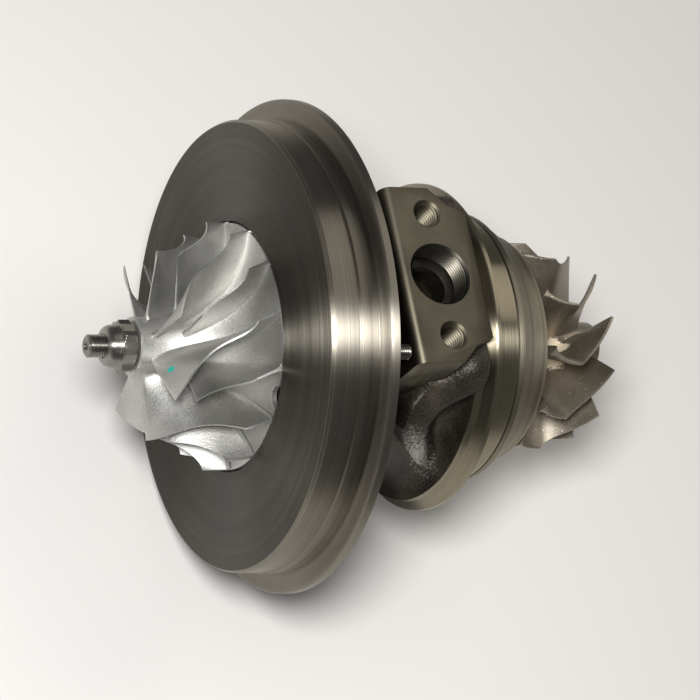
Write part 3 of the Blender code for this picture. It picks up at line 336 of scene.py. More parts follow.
def keepModifiers(piece):
    # the mesh takes the shape that the modifiers give it
    graph = bpy.context.evaluated_depsgraph_get()
    mesh = bpy.data.meshes.new_from_object(piece.evaluated_get(graph))
    piece.modifiers.clear()
    piece.data = mesh


def cutAway(piece, cutters, sharpAngle):
    # the piece without what lies inside its cutters, which are used up
    for cutter in cutters:
        boolean = piece.modifiers.new(cutter.name, "BOOLEAN")
        boolean.operation = "DIFFERENCE"
        boolean.solver = "EXACT"
        boolean.material_mode = "TRANSFER"
        boolean.object = cutter
    keepModifiers(piece)
    for cutter in cutters:
        bpy.data.objects.remove(cutter, do_unlink=True)
    shadeSmooth(piece, sharpAngle)


def breakEdges(piece, width, angle):
    # a narrow bevel along every edge that turns by more than the angle, in degrees
    bevel = piece.modifiers.new("brokenEdges", "BEVEL")
    bevel.width, bevel.segments, bevel.angle_limit = width, 2, math.radians(angle)
    keepModifiers(piece)


def finish(piece, node, body):
    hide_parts(node)
    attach(piece, body)


def turnRow(steps):
    # the angles of one turn in equal steps, as a row
    return np.linspace(0, math.tau, steps, endpoint=False)[None, :]


def mix(first, second, share):
    return first + (second - first) * share


def spun(stations, radii, centre=(0.0, 0.0), axis="X", ring=False):
    # rows of stations and radii carried once round a line along X or Z; a ring joins its last row to its
    # first, and a row of radius zero closes an end
    angle = turnRow(radii.shape[1])
    stations = np.broadcast_to(stations, radii.shape)
    a, b = centre[0] + radii * np.cos(angle), centre[1] + radii * np.sin(angle)
    columns = (frontX + stations, a, b) if axis == "X" else (a, b, stations)
    return np.stack(columns, -1), [gridQuads(*radii.shape, ring, True)]


def lathe(outline, steps=256, centre=(0.0, 0.0), axis="X", ring=True):
    # one outline carried once round, the same at every angle
    outline = np.asarray(outline, float)
    return spun(outline[:, :1], np.repeat(outline[:, 1:], steps, 1), centre, axis, ring)


def prism(outline, axis, low, high):
    # a flat outline given thickness along an axis: its two end faces and the walls between them
    outline = np.asarray(outline, float)
    count = len(outline)
    order = {"Y": (0, 2, 1), "Z": (0, 1, 2)}[axis]
    rows = [np.column_stack([outline, np.full(count, level)])[:, order] for level in (low, high)]
    ends = [np.arange(count)[None, ::-1], np.arange(count, 2 * count)[None, :]]
    return np.concatenate(rows), [gridQuads(2, count, False, True), *ends]


def roundCorners(outline, radius, count=3):
    # each corner becomes a short curve that starts one radius before it and ends one radius after, or
    # nearly half way along a side that is too short
    points = np.array(outline, float)
    before, after = np.roll(points, 1, 0) - points, np.roll(points, -1, 0) - points
    lengthBefore, lengthAfter = np.linalg.norm(before, axis=1), np.linalg.norm(after, axis=1)
    cut = np.minimum(radius, 0.45 * np.minimum(lengthBefore, lengthAfter))[:, None]
    start = points + before / lengthBefore[:, None] * cut
    end = points + after / lengthAfter[:, None] * cut
    t = np.linspace(0, 1, count + 1)[None, :, None]
    curve = start[:, None] * (1 - t) ** 2 + points[:, None] * 2 * t * (1 - t) + end[:, None] * t ** 2
    return curve.reshape(-1, 2)


def threadRows(start, end, radius, pitch, depth, steps, rowsPerTurn, runOut):
    # A screw thread as rows of stations and radii: a V with flats at crest and root climbs one pitch each
    # turn and dies away over the run-out at both ends.
    stations = np.linspace(start, end, round(abs(end - start) / pitch * rowsPerTurn) + 1)[:, None]
    angle = turnRow(steps)
    wave = np.abs((((stations - start) / pitch - angle / math.tau) % 1.0) * 2 - 1)
    fade = np.clip(np.minimum(abs(stations - start), abs(end - stations)) / runOut, 0, 1)
    return stations, radius - depth * fade * np.clip(wave * 1.3 - 0.15, 0, 1)


def threaded(before, thread, after, steps, centre=(0.0, 0.0), axis="X"):
    # plain rows, then the thread, then plain rows again, as one closed turned piece
    stations, radii = threadRows(*thread[:5], steps, *thread[5:])
    rows = [np.array(part, float).reshape(-1, 2) for part in (before, after)]
    stations = np.concatenate([rows[0][:, :1], stations, rows[1][:, :1]])
    first, last = [np.repeat(part[:, 1:], steps, 1) for part in rows]
    radii = np.concatenate([first, radii, last])
    return spun(stations, radii, centre, axis)


def quarter(start, end, axialFirst, share):
    # a quarter of an ellipse from start to end, leaving start along the shaft or else radially
    slow, fast = 1 - np.cos(share * math.pi / 2), np.sin(share * math.pi / 2)
    along, out = (fast, slow) if axialFirst else (slow, fast)
    return mix(start[0], end[0], along), mix(start[1], end[1], out)


def quarterRows(start, end, axialFirst, count):
    # the same quarter as evenly turned rows
    return np.stack(quarter(start, end, axialFirst, np.linspace(0, 1, count)), 1)


def softMax(first, second, blend):
    # the larger of the two, with a round fillet where they cross: h(1 - h) times the blend is added
    h = np.clip(0.5 + 0.5 * (first - second) / blend, 0, 1)
    return first * h + second * (1 - h) + blend * h * (1 - h)


def softMin(first, second, blend):
    return -softMax(-first, -second, blend)


def softStep(share):
    # from 0 to 1, level at both ends: three squares less two cubes
    share = np.clip(share, 0, 1)
    return share * share * (3 - 2 * share)


def polar(station, radius, angle):
    return np.stack([station, radius * np.cos(angle), radius * np.sin(angle)], -1)


def bladeThickness(v):
    # from root to tip by a power of the span, plus a fillet that falls away within a share of it
    def thickness(flow, span):
        plain = mix(v["tipThickness"], v["rootThickness"], (1 - span) ** v["taper"])
        return plain + v["rootFillet"] * np.exp(-span / v["filletShare"])

    return thickness


def bladeSurfaces(surface, angles, thickness, flowSteps, spanSteps, nose):
    # Every blade at once: the mean surface is moved half a thickness each way along its normal. The
    # thickness grows as an ellipse over the nose, so both sides meet in a round leading edge.
    flow = np.sin(np.linspace(0, math.pi / 2, flowSteps + 1)) ** 2
    flow, span = np.meshgrid(flow, np.linspace(0, 1, spanSteps + 1), indexing="ij")
    step = 0.002
    along = surface(flow + step, span) - surface(flow - step, span)
    across = surface(flow, span + step) - surface(flow, span - step)
    normal = np.cross(along, across)
    normal /= np.linalg.norm(normal, axis=-1, keepdims=True)
    grow = np.sqrt(1 - (1 - np.clip(flow / nose, 0, 1)) ** 2)
    half = (thickness(flow, span) * grow / 2)[..., None]
    middle = surface(flow, span)
    loop = np.concatenate([middle + normal * half, (middle - normal * half)[::-1]])
    rows, columns = loop.shape[:2]
    i = np.arange(flowSteps)
    edge = np.stack([i, i + 1, rows - 2 - i, rows - 1 - i], 1) * columns
    faces = [gridQuads(rows, columns, True, False), edge, edge + spanSteps]
    blades = []
    for angle in angles:
        c, s = math.cos(angle), math.sin(angle)
        turned = loop @ np.array([[1, 0, 0], [0, c, s], [0, -s, c]])
        blades.append((turned + np.array([frontX, 0, 0]), faces))
    return blades


print("backplate")
backplateValues = {
    "face": 0.0981, "bevelStart": 0.0013, "bevel": 0.0004, "firstLand": 0.0991, "firstLandEnd": 0.0131,
    "landStep": 0.0005, "secondLand": 0.0998, "seat": 0.0218, "undercut": 0.0006,
    "undercutWidth": 0.0009, "flange": 0.109, "rimBevel": 0.0007, "rimEnd": 0.0258, "rear": 0.029,
    "rearRadius": 0.1003, "pilotFloor": 0.024, "pilotBore": 0.0603, "bore": 0.0323,
    "clipGroove": (0.0105, 0.0126, 0.0335), "boreFront": 0.0085, "pocketFoot": 0.047, "pocket": 0.055,
    "pocketDepth": 0.0032, "edge": 0.00025, "steps": 384,
}


def makeBackplate(v):
    # one outline turned round the shaft, from the pocket's edge over the rim to the bore and back
    first, second, landEnd, step = v["firstLand"], v["secondLand"], v["firstLandEnd"], v["landStep"]
    bevel, seat, low = v["bevel"], v["seat"], v["secondLand"] - v["undercut"]
    grooveFront, grooveRear, grooveRadius = v["clipGroove"]
    outline = [
        (0, v["pocket"]), (0, v["face"]), (v["bevelStart"], first - bevel),
        (v["bevelStart"] + bevel, first), (landEnd - step - bevel, first),
        (landEnd - step, first - bevel), (landEnd, first - bevel), (landEnd + step, second),
        (seat - v["undercutWidth"] - 0.0002, second), (seat - v["undercutWidth"], low), (seat, low),
        (seat, v["flange"] - v["rimBevel"]), (seat + v["rimBevel"], v["flange"]),
        (v["rimEnd"], v["flange"]), (v["rear"], v["rearRadius"]), (v["rear"], v["pilotBore"]),
        (v["pilotFloor"], v["pilotBore"]), (v["pilotFloor"], v["bore"]), (grooveRear, v["bore"]),
        (grooveRear, grooveRadius), (grooveFront, grooveRadius), (grooveFront, v["bore"]),
        (v["boreFront"], v["bore"]), (v["pocketDepth"], v["pocketFoot"]),
        (v["pocketDepth"], v["pocket"]),
    ]
    piece = meshFrom("turnedBackplate", [lathe(roundCorners(outline, v["edge"]), v["steps"])], turnedSteel)
    # everything outside the face takes the lighter copy: painted sheen
    piece.data.materials.append(paintedSheenTurnedSteel)
    centres = np.empty(len(piece.data.polygons) * 3)
    piece.data.polygons.foreach_get("center", centres)
    outside = np.hypot(*centres.reshape(-1, 3)[:, 1:].T) > v["face"] - 0.0002
    piece.data.polygons.foreach_set("material_index", outside.astype(np.int32))
    finish(piece, "compressor_backplate", "housing")


makeBackplate(backplateValues)


print("compressor wheel")
compressorValues = {
    "blades": 7, "nose": -0.0457, "noseRadius": 0.0126, "noseCorner": 0.0006, "rootStation": -0.0405,
    "rootEnd": 0.0005, "rootSink": 0.001, "radius": 0.054, "inducerRadius": 0.0407,
    "inducerStation": -0.0396, "exducerWidth": 0.0105, "lean": math.radians(34.2),
    "wrap": math.radians(45.5), "earlyShare": 0.66, "earlyPower": 6.0, "rake": math.radians(4.9),
    "splitterStart": 0.21, "tipThickness": 0.0008, "rootThickness": 0.0016, "taper": 1.4,
    "rootFillet": 0.0034, "filletShare": 0.05, "rim": 0.0022, "rimCorner": 0.0002, "rimLip": 0.004,
    "back": 0.012, "backRadius": 0.015, "bore": 0.0053, "biteRadius": 0.0048,
    "biteAngle": math.radians(137.0), "flatDepth": 0.0007, "flatLength": 0.0048,
    "flatAngle": math.radians(173.5), "steps": 420,
}


def makeCompressorWheel(v):
    # the full blades, the splitters between them, which start further back, and the turned hub
    def bladeFrom(start):
        def surface(flow, span):
            # Root and tip contours are quarter ellipses from eye to rim, joined by straight lines. The
            # turn is wrap times a mix of 1 - (1 - share)^6 and share, and the root runs ahead by the rake.
            share = start + (1 - start) * flow
            eye = (v["rootStation"], v["noseRadius"] - v["rootSink"])
            root = quarter(eye, (v["rootEnd"], v["radius"]), True, share)
            eye = (v["inducerStation"], v["inducerRadius"])
            tip = quarter(eye, (-v["exducerWidth"], v["radius"]), True, share)
            early = 1 - (1 - share) ** v["earlyPower"]
            turn = v["wrap"] * (v["earlyShare"] * early + (1 - v["earlyShare"]) * share)
            turn = turn + v["rake"] * share * (1 - span)
            station, radius = mix(root[0], tip[0], span), mix(root[1], tip[1], span)
            return polar(station, radius, wheelAngle + v["lean"] - turn)

        return surface

    pitch = math.tau / v["blades"]
    full = [pitch * i for i in range(v["blades"])]
    split = [pitch * (i + 0.5) for i in range(v["blades"])]
    surfaces = bladeSurfaces(bladeFrom(0), full, bladeThickness(v), 46, 26, 0.02)
    surfaces += bladeSurfaces(bladeFrom(v["splitterStart"]), split, bladeThickness(v), 36, 26, 0.025)
    nose, noseRadius, corner = v["nose"], v["noseRadius"], v["noseCorner"]
    flatEnd = nose + v["flatLength"]
    rim, radius, rimCorner = v["rim"], v["radius"], v["rimCorner"]
    outline = np.concatenate(
        [
            [(nose, v["bore"]), (nose, noseRadius - corner), (nose + corner, noseRadius)],
            [(flatEnd, noseRadius), (flatEnd + 0.0001, noseRadius)],
            quarterRows((v["rootStation"], noseRadius), (0, radius), True, 44),
            [(rim - rimCorner, radius), (rim, radius - rimCorner)],
            quarterRows((rim, radius - v["rimLip"]), (v["back"], v["backRadius"]), False, 16),
            [(v["back"], v["bore"])],
        ]
    )
    angle = turnRow(v["steps"])
    radii = np.repeat(outline[:, 1:], v["steps"], 1)
    # the flat on the nose: radius is cut to (noseRadius - depth) / cos(angle from its middle)
    flat = (noseRadius - v["flatDepth"]) / np.maximum(np.cos(angle - v["flatAngle"]), 0.2)
    radii = np.where(outline[:, :1] <= flatEnd, np.minimum(radii, np.maximum(flat, v["bore"])), radii)
    # the bite in the rim: radius is cut where the ray meets a circle centred on the rim
    side = radius * np.sin(angle - v["biteAngle"])
    near = radius * np.cos(angle - v["biteAngle"]) - np.sqrt(np.maximum(v["biteRadius"] ** 2 - side**2, 0))
    bite = np.where((abs(side) < v["biteRadius"]) & (near > 0), near, 1.0)
    surfaces.append(spun(outline[:, :1], np.minimum(radii, bite), ring=True))
    piece = meshFrom("bladedCompressorWheel", surfaces, blastedAluminium, 40)
    finish(piece, "compressor_wheel", "rotor")


makeCompressorWheel(compressorValues)


print("turbine wheel")
turbineValues = {
    "blades": 11, "disc": 0.137, "discThickness": 0.0035, "discRadius": 0.04, "discCorner": 0.0004,
    "radius": 0.0487, "inletStart": 0.0025, "inletEnd": 0.0175, "straight": 0.019, "exitTip": 0.0396,
    "exitRadius": 0.0431, "exitHub": 0.041, "hubRadius": 0.012, "rootSink": 0.001, "rootPower": 1.3,
    "tipPower": 4, "lean": math.radians(8.9), "wrap": math.radians(31.1), "wrapPower": 1.53,
    "backTurn": math.radians(7.2), "backPower": 2.35, "nose": 0.0532, "noseCentre": (0.0018, 0.003),
    "boss": 0.014, "bossLength": 0.0017, "bossStep": 0.0007, "tipThickness": 0.0012,
    "rootThickness": 0.0026, "taper": 1.3, "rootFillet": 0.0032, "filletShare": 0.06,
}


def makeTurbineWheel(v):
    def surface(flow, span):
        # The blade lies along radii, so its turn depends on the station alone: a power of the distance
        # from the station where it stands straight, backwards before it and onwards after it.
        slow, fast = 1 - np.cos(flow * math.pi / 2), np.sin(flow * math.pi / 2)
        rootStation = mix(v["inletStart"], v["exitHub"], slow ** v["rootPower"])
        rootRadius = mix(v["radius"], v["hubRadius"] - v["rootSink"], fast)
        tipStation = mix(v["inletEnd"], v["exitTip"], flow)
        tipRadius = mix(v["exitRadius"], v["radius"], (1 - flow) ** v["tipPower"])
        station, radius = mix(rootStation, tipStation, span), mix(rootRadius, tipRadius, span)
        past = np.clip((station - v["straight"]) / (v["exitHub"] - v["straight"]), 0, None)
        before = np.clip((v["straight"] - station) / (v["straight"] - v["inletStart"]), 0, None)
        turn = v["wrap"] * past ** v["wrapPower"] + v["backTurn"] * before ** v["backPower"]
        return polar(v["disc"] + station, radius, wheelAngle + v["lean"] - turn)

    angles = [math.tau / v["blades"] * i for i in range(v["blades"])]
    surfaces = bladeSurfaces(surface, angles, bladeThickness(v), 40, 24, 0.012)
    disc, discRadius, hub, nose = v["disc"], v["discRadius"], v["hubRadius"], v["disc"] + v["nose"]
    bossStart, (centreDepth, centreRadius) = disc - v["bossLength"], v["noseCentre"]
    outline = np.concatenate(
        [
            [(bossStart, 0), (bossStart, v["boss"]), (disc, v["boss"] + v["bossStep"])],
            [(disc, discRadius - v["discCorner"]), (disc + v["discCorner"], discRadius)],
            quarterRows((disc + v["discThickness"], discRadius), (disc + v["exitHub"], hub), False, 36),
            # the nose's edge is rounded in four rows, and its face has a centre hole
            [(nose - 0.0018, hub), (nose - 0.0012, hub - 0.0003)],
            [(nose - 0.0002, hub - 0.0014), (nose, hub - 0.0018)],
            [(nose, centreRadius), (nose - centreDepth, 0)],
        ]
    )
    surfaces.append(lathe(outline, 256, ring=False))
    piece = meshFrom("bladedTurbineWheel", surfaces, castNickelAlloy, 40)
    finish(piece, "turbine_wheel", "rotor")


makeTurbineWheel(turbineValues)


print("shaft, locknut and studs")
shaftValues = {
    "tip": -0.066, "radius": 0.005, "pitch": 0.00125, "threadDepth": 0.00065, "threadEnd": -0.053,
    "centreHole": 0.0016, "centreDepth": 0.0022, "corner": 0.0006, "shoulder": 0.0353, "journal": 0.008,
    "hubStart": 0.0982, "hubBevel": 0.0007, "hub": 0.014, "ringSeat": 0.0118,
    "grooves": [(0.1213, 0.1235), (0.1257, 0.1279)], "end": 0.135,
}
nutValues = {
    "start": -0.0584, "end": -0.046, "noseRadius": 0.0062, "shoulder": 0.0086, "dome": 0.0096,
    "domeRise": 2.2, "points": 0.0114, "pointsStart": -0.0526, "pointSlope": 2.2, "bore": 0.0053,
    "steps": 288,
}
studValues = {
    "count": 6, "circle": 0.089, "firstAngle": math.radians(114.9), "radius": 0.0033, "start": 0.018,
    "threadStart": 0.0318, "end": 0.041, "corner": 0.0006, "pitch": 0.001, "threadDepth": 0.0005,
}


def makeShaft(v):
    # a centre hole, the thread, then the plain turned diameters up to the wheel with two ring grooves
    tip, radius, corner = v["tip"], v["radius"], v["corner"]
    before = [
        (tip + v["centreDepth"], 0), (tip + corner, v["centreHole"]), (tip, v["centreHole"] + corner),
        (tip, radius - 0.0009), (tip + corner, radius - 0.0002),
    ]
    grooves = []
    for low, high in v["grooves"]:
        grooves += [(low, v["hub"]), (low, v["ringSeat"]), (high, v["ringSeat"]), (high, v["hub"])]
    after = [
        (v["threadEnd"] + 0.0002, radius), (v["shoulder"], radius), (v["shoulder"], v["journal"]),
        (v["hubStart"], v["journal"]), (v["hubStart"] + v["hubBevel"], v["hub"]), *grooves,
        (v["end"], v["hub"]), (v["end"], 0),
    ]
    thread = (tip + 0.0007, v["threadEnd"], radius, v["pitch"], v["threadDepth"], 12, 0.0007)
    piece = meshFrom("threadedRotorShaft", [threaded(before, thread, after, 72)], groundSteel, 28)
    finish(piece, "rotor_shaft", "rotor")


def makeLocknut(v):
    # The radius is the larger of a dome and a twelve-pointed star, whose corners a cone takes off at both
    # ends. The dome is a quarter ellipse up to its shoulder, plus a slight taper.
    front = np.linspace(v["start"], v["pointsStart"] - 0.0002, 16)
    rear = np.linspace(v["pointsStart"] - 0.0001, v["end"], 30)
    stations = np.concatenate([front, rear])[:, None]
    angle = turnRow(v["steps"])
    share = np.clip((stations - v["start"]) / (v["pointsStart"] - v["start"]), 0, 1)
    rise = (1 - (1 - np.minimum(share * v["domeRise"], 1)) ** 2) ** 0.5
    dome = mix(v["noseRadius"], v["shoulder"], rise) + (v["dome"] - v["shoulder"]) * share
    apothem = v["points"] * math.cos(math.pi / 6)
    turned = [(angle + turn) % (math.pi / 3) - math.pi / 6 for turn in (0, math.pi / 6)]
    star = np.maximum(*(apothem / np.cos(turned)))
    ends = np.minimum(stations - v["pointsStart"], v["end"] - stations)
    cone = v["dome"] - 0.0002 + ends * v["pointSlope"]
    radii = np.maximum(dome + 0 * angle, np.minimum(star, cone))
    bore = np.full((1, v["steps"]), v["bore"])
    stations = np.concatenate([stations[:1], stations, stations[-1:]])
    surface = spun(stations, np.concatenate([bore, radii, bore]), ring=True)
    piece = meshFrom("twelvePointLocknut", [surface], groundSteel, 26)
    finish(piece, "compressor_locknut", "rotor")


def makeStuds(v):
    # plain to the backplate's rear, then threaded to a bevelled end
    radius, end, corner = v["radius"], v["end"], v["corner"]
    for i in range(v["count"]):
        angle = v["firstAngle"] + math.tau * i / v["count"]
        centre = (v["circle"] * math.cos(angle), v["circle"] * math.sin(angle))
        before = [(v["start"], 0), (v["start"], radius), (v["threadStart"] - 0.0002, radius)]
        after = [(end - corner, radius - 0.0001), (end, radius - 0.0007), (end, 0)]
        thread = (v["threadStart"], end - 0.0007, radius, v["pitch"], v["threadDepth"], 10, 0.0005)
        surface = threaded(before, thread, after, 28, centre)
        piece = meshFrom(f"threadedStud{i + 1}", [surface], groundSteel, 28)
        finish(piece, f"backplate_stud_{i + 1}", "housing")


makeShaft(shaftValues)
makeLocknut(nutValues)
makeStuds(studValues)


print("cast housing")
# the shoulder's edges are (height, station), the front steps are (station, next radius), and a hole is its
# name, distance from the shaft's plane, steps and (height, radius) rows
castValues = {
    "steps": 420, "rows": 118, "pilotFront": 0.0243, "pilot": 0.06, "pilotBevel": 0.0005,
    "front": 0.0293, "flange": 0.096, "flangeRim": 0.0027, "rimBevel": 0.0007, "coneDrop": 0.0015,
    "coneShares": (0.05, 0.3, 0.6, 0.85), "coneEnd": 0.038, "coneRadius": 0.08, "waist": 0.056,
    "neck": 0.049, "flareEnd": 0.0865, "flareRadius": 0.0694, "end": 0.0972,
    "pad": {"top": 0.056, "reach": 0.0413, "front": 0.0468, "rear": 0.0855},
    "drain": {"top": 0.069, "reach": 0.0366, "front": 0.0458, "rear": 0.0872}, "lobeReach": 0.041,
    "lobeTop": 0.056, "gusset": 0.015, "gussetStart": 0.06, "gussetLength": 0.022,
    "slopeShare": 0.7, "cornerReach": 0.0555, "cornerHeight": 0.0405, "sideReach": 0.06,
    "sideHeight": 0.026, "footReach": 0.0625, "footHeight": 0.004,
    "lobeFront": [(0.004, 0.081), (0.025, 0.061), (0.038, 0.054), (0.048, 0.055), (0.054, 0.06)],
    "lobeRear": [
        (0.004, 0.086), (0.031, 0.0715), (0.04, 0.0695), (0.047, 0.071), (0.053, 0.076), (0.062, 0.088)
    ],
    "lobeSunk": 0.01, "frontSoftness": 0.007, "rearSoftness": 0.018, "footSoftness": 0.01,
    "edgeSoftness": 0.006, "fillet": 0.006, "sandWave": 0.00012, "bearingBore": 0.0125,
    "clipBore": 0.0138,
    "clips": [(0.0965, 0.0947), (0.0807, 0.0789), (0.0539, 0.0521), (0.0381, 0.0363)],
    "frontSteps": [(0.0356, 0.0183), (0.0323, 0.0303), (0.027, 0.0326)],
    "chamber": [
        (0.046, 0.018), (0.046, 0.031), (0.054, 0.039), (0.082, 0.039), (0.09, 0.031), (0.09, 0.018)
    ],
    "chamberCorner": 0.002,
    "holes": [
        ("portCut", 0.0, 64, [(0.064, 0.0136), (0.09, 0.0136)]),
        ("galleryCut", 0.0, 64, [(0.0361, 0.006), (0.0385, 0.0095), (0.09, 0.0095)]),
        ("drainCut", 0.0, 64, [(-0.09, 0.015), (-0.026, 0.015)]),
        *[("boltCut", y, 32, [(0.057, 0.0064), (0.09, 0.0064)]) for y in (-0.0285, 0.0285)],
        *[("boltCut", y, 32, [(-0.09, 0.0055), (-0.057, 0.0055)]) for y in (-0.025, 0.025)],
    ],
}


def drillCutter(name, y, steps, rows, material=None):
    # a plain bore along Z through (height, radius) rows, closed at both ends
    outline = [(rows[0][0], 0), *rows, (rows[-1][0], 0)]
    return meshFrom(name, [lathe(outline, steps, (padX, y), "Z", False)], material)


def neckRadius(station, v):
    # quarter ellipses down from the flange's cone to the waist and up again to the rear flare
    down = 1 - np.clip((station - v["coneEnd"]) / (v["waist"] - v["coneEnd"]), 0, 1)
    up = np.clip((station - v["waist"]) / (v["flareEnd"] - v["waist"]), 0, 1)
    front = mix(v["coneRadius"], v["neck"], np.sqrt(1 - down**2))
    rear = mix(v["flareRadius"], v["neck"], np.sqrt(1 - up**2))
    return np.where(station < v["waist"], front, rear)


def blockRadius(station, across, up, block, softness):
    # how far a rounded box reaches at each angle; its front and rear walls lean 1 in 9
    top, reach = block["top"] / np.maximum(up, 0.02), block["reach"] / np.maximum(across, 0.02)
    wall = 9 * np.maximum(np.maximum(block["front"] - station, station - block["rear"]), 0)
    return np.where(up > 0.05, softMin(top, reach, softness) - wall, 0)


def edgeRadius(across, up, first, second):
    # how far a straight edge through two (reach, height) points lies from the shaft at each angle
    normal = np.array([first[1] - second[1], second[0] - first[0]])
    distance = normal[0] * first[0] + normal[1] * first[1]
    facing = normal[0] * across + normal[1] * up
    return np.where(facing > 0.03 * np.linalg.norm(normal), distance / np.maximum(facing, 1e-6), 0.2)


def lobeRadius(station, across, up, neck, v):
    # The shoulder: a top, a sloping edge, a side and a foot, and a gusset lifts the top towards the rear.
    # It stands between a front and a rear edge that depend on its height, and sinks in outside them.
    rise = v["gusset"] * softStep((station - v["gussetStart"]) / v["gussetLength"])
    top = v["lobeTop"] + rise
    drop = v["lobeTop"] - v["cornerHeight"] + v["slopeShare"] * rise
    run = v["cornerReach"] - v["lobeReach"]
    slope = (drop * v["lobeReach"] + run * top) / np.maximum(drop * across + run * up, 0.004)
    limit = softMin(slope, top / np.maximum(up, 0.02), v["edgeSoftness"])
    names = ("corner", "side", "foot")
    points = [(v[name + "Reach"], v[name + "Height"]) for name in names]
    for first, second in zip(points, points[1:]):
        limit = softMin(limit, edgeRadius(across, up, first, second), v["edgeSoftness"])
    height = limit * up
    front = station - np.interp(height, *zip(*v["lobeFront"]))
    rear = np.interp(height, *zip(*v["lobeRear"])) - station
    shown = softStep(front / v["frontSoftness"] + 0.5) * softStep(rear / v["rearSoftness"] + 0.9)
    shown = shown * softStep(height / v["footSoftness"])
    sunk = neck - v["lobeSunk"]
    return mix(sunk, limit, shown)


def castRadius(station, angle, v):
    # one radius for each station and angle: the largest of the neck, the shoulders and the feet of both
    # pads, with fillets between them
    across, up = abs(np.cos(angle)), np.sin(angle)
    neck = neckRadius(station, v)
    body = softMax(neck, lobeRadius(station, across, up, neck, v), v["fillet"])
    for side, block in ((up, v["pad"]), (-up, v["drain"])):
        body = softMax(body, blockRadius(station, across, side, block, v["edgeSoftness"]), v["fillet"])
    # uneven sand: three slow waves of about a tenth of a millimetre
    wave = np.sin(station * 310 + 3 * np.sin(2 * angle)) + np.sin(7 * angle + station * 170)
    wave = wave + np.sin(13 * angle - station * 420)
    return np.where(station < v["flareEnd"] + 0.0004, body + v["sandWave"] * wave, neck)


def makeCastHousing(v):
    # rows from the pilot over the flange and its cone, the shaped rows, and the bores back to the pilot
    pilotFront, front, flange, steps = v["pilotFront"], v["front"], v["flange"], v["steps"]
    rimEnd, coneStart = front + v["flangeRim"], flange - v["coneDrop"]
    before = [
        (pilotFront, v["frontSteps"][-1][1]), (pilotFront, v["pilot"] - v["pilotBevel"]),
        (pilotFront + v["pilotBevel"], v["pilot"]), (front, v["pilot"]), (front, flange - v["rimBevel"]),
        (front + v["rimBevel"], flange), (rimEnd - v["rimBevel"], flange),
        (rimEnd, flange - v["rimBevel"]),
    ]
    for t in v["coneShares"]:
        before.append((mix(rimEnd, v["coneEnd"], t), mix(coneStart, v["coneRadius"], t)))
    after = [
        (v["flareEnd"] + 0.0005, v["flareRadius"] - 0.0002), (v["end"], v["flareRadius"] - 0.001),
        (v["end"], v["bearingBore"]),
    ]
    bore = v["bearingBore"]
    for high, low in v["clips"]:
        after += [(high, bore), (high, v["clipBore"]), (low, v["clipBore"]), (low, bore)]
    for station, radius in v["frontSteps"]:
        after += [(station, bore), (station, radius)]
        bore = radius
    before, after = np.array(before), np.array(after)
    shaped = np.linspace(v["coneEnd"], v["flareEnd"], v["rows"])
    angle = turnRow(steps)
    stations = np.concatenate([before[:, 0], shaped, after[:, 0]])[:, None]
    radii = [np.repeat(rows[:, 1:], steps, 1) for rows in (before, after)]
    radii.insert(1, castRadius(shaped[:, None], angle, v))
    surface = spun(stations, np.concatenate(radii), ring=True)
    piece = meshFrom("castBearingHousing", [surface], sandCastIron, 50)
    cutters = [drillCutter(*hole) for hole in v["holes"]]
    chamber = lathe(roundCorners(v["chamber"], v["chamberCorner"]), 96)
    cutAway(piece, [*cutters, meshFrom("chamberCut", [chamber])], 50)
    finish(piece, "bearing_housing", "housing")


makeCastHousing(castValues)


print("machined pads")
# a tap is its depth, radius and pitch; the corner steps are (back from the rear, in from the side)
padValues = {
    "front": 0.047, "rear": 0.086, "half": 0.041, "top": 0.0781, "foot": 0.0525, "frontEdge": 0.005,
    "cornerSteps": [(0.0, 0.0115), (0.0085, 0.008), (0.0125, 0.004), (0.0168, 0.0)],
    "cornerRound": 0.0018, "boltSpacing": 0.057, "bolt": (0.02, 0.0057, 0.00175),
    "port": (0.013, 0.0134, 0.0015), "gallery": [(0.04, 0.0095), (0.07, 0.0095)], "edge": 0.0004,
    "over": 0.003,
}
drainValues = {
    "halfWidth": 0.021, "halfLength": 0.037, "corner": 0.01, "face": -0.074, "foot": -0.064,
    "bore": 0.015, "boltSpacing": 0.05, "bolt": (0.016, 0.0047, 0.0015), "edge": 0.0005,
    "over": 0.002,
}
tapValues = {
    "pointShare": 0.35, "drillShare": 0.86, "depthShare": 0.55, "chamfer": 0.0009, "proud": 0.0002,
    "over": 0.002,
}


def tapCutter(name, y, mouth, tap, sign, steps=48, material=milledIron, v=tapValues):
    # The shape of the tapped hole: a drill point, the thread, and a chamfer where it opens. sign is the
    # direction out of the metal along Z.
    depth, radius, pitch = tap
    foot, wide = mouth - sign * depth, radius + v["chamfer"] + v["proud"]
    before = [(foot - sign * radius * v["pointShare"], 0), (foot, radius * v["drillShare"])]
    after = [
        (mouth - sign * v["chamfer"], radius), (mouth + sign * v["proud"], wide),
        (mouth + sign * v["over"], wide), (mouth + sign * v["over"], 0),
    ]
    start, end = foot + sign * 0.0004, mouth - sign * (v["chamfer"] + 0.0001)
    thread = (start, end, radius, pitch, pitch * v["depthShare"], 10, pitch * 0.5)
    return meshFrom(name, [threaded(before, thread, after, steps, (padX, y), "Z")], material)


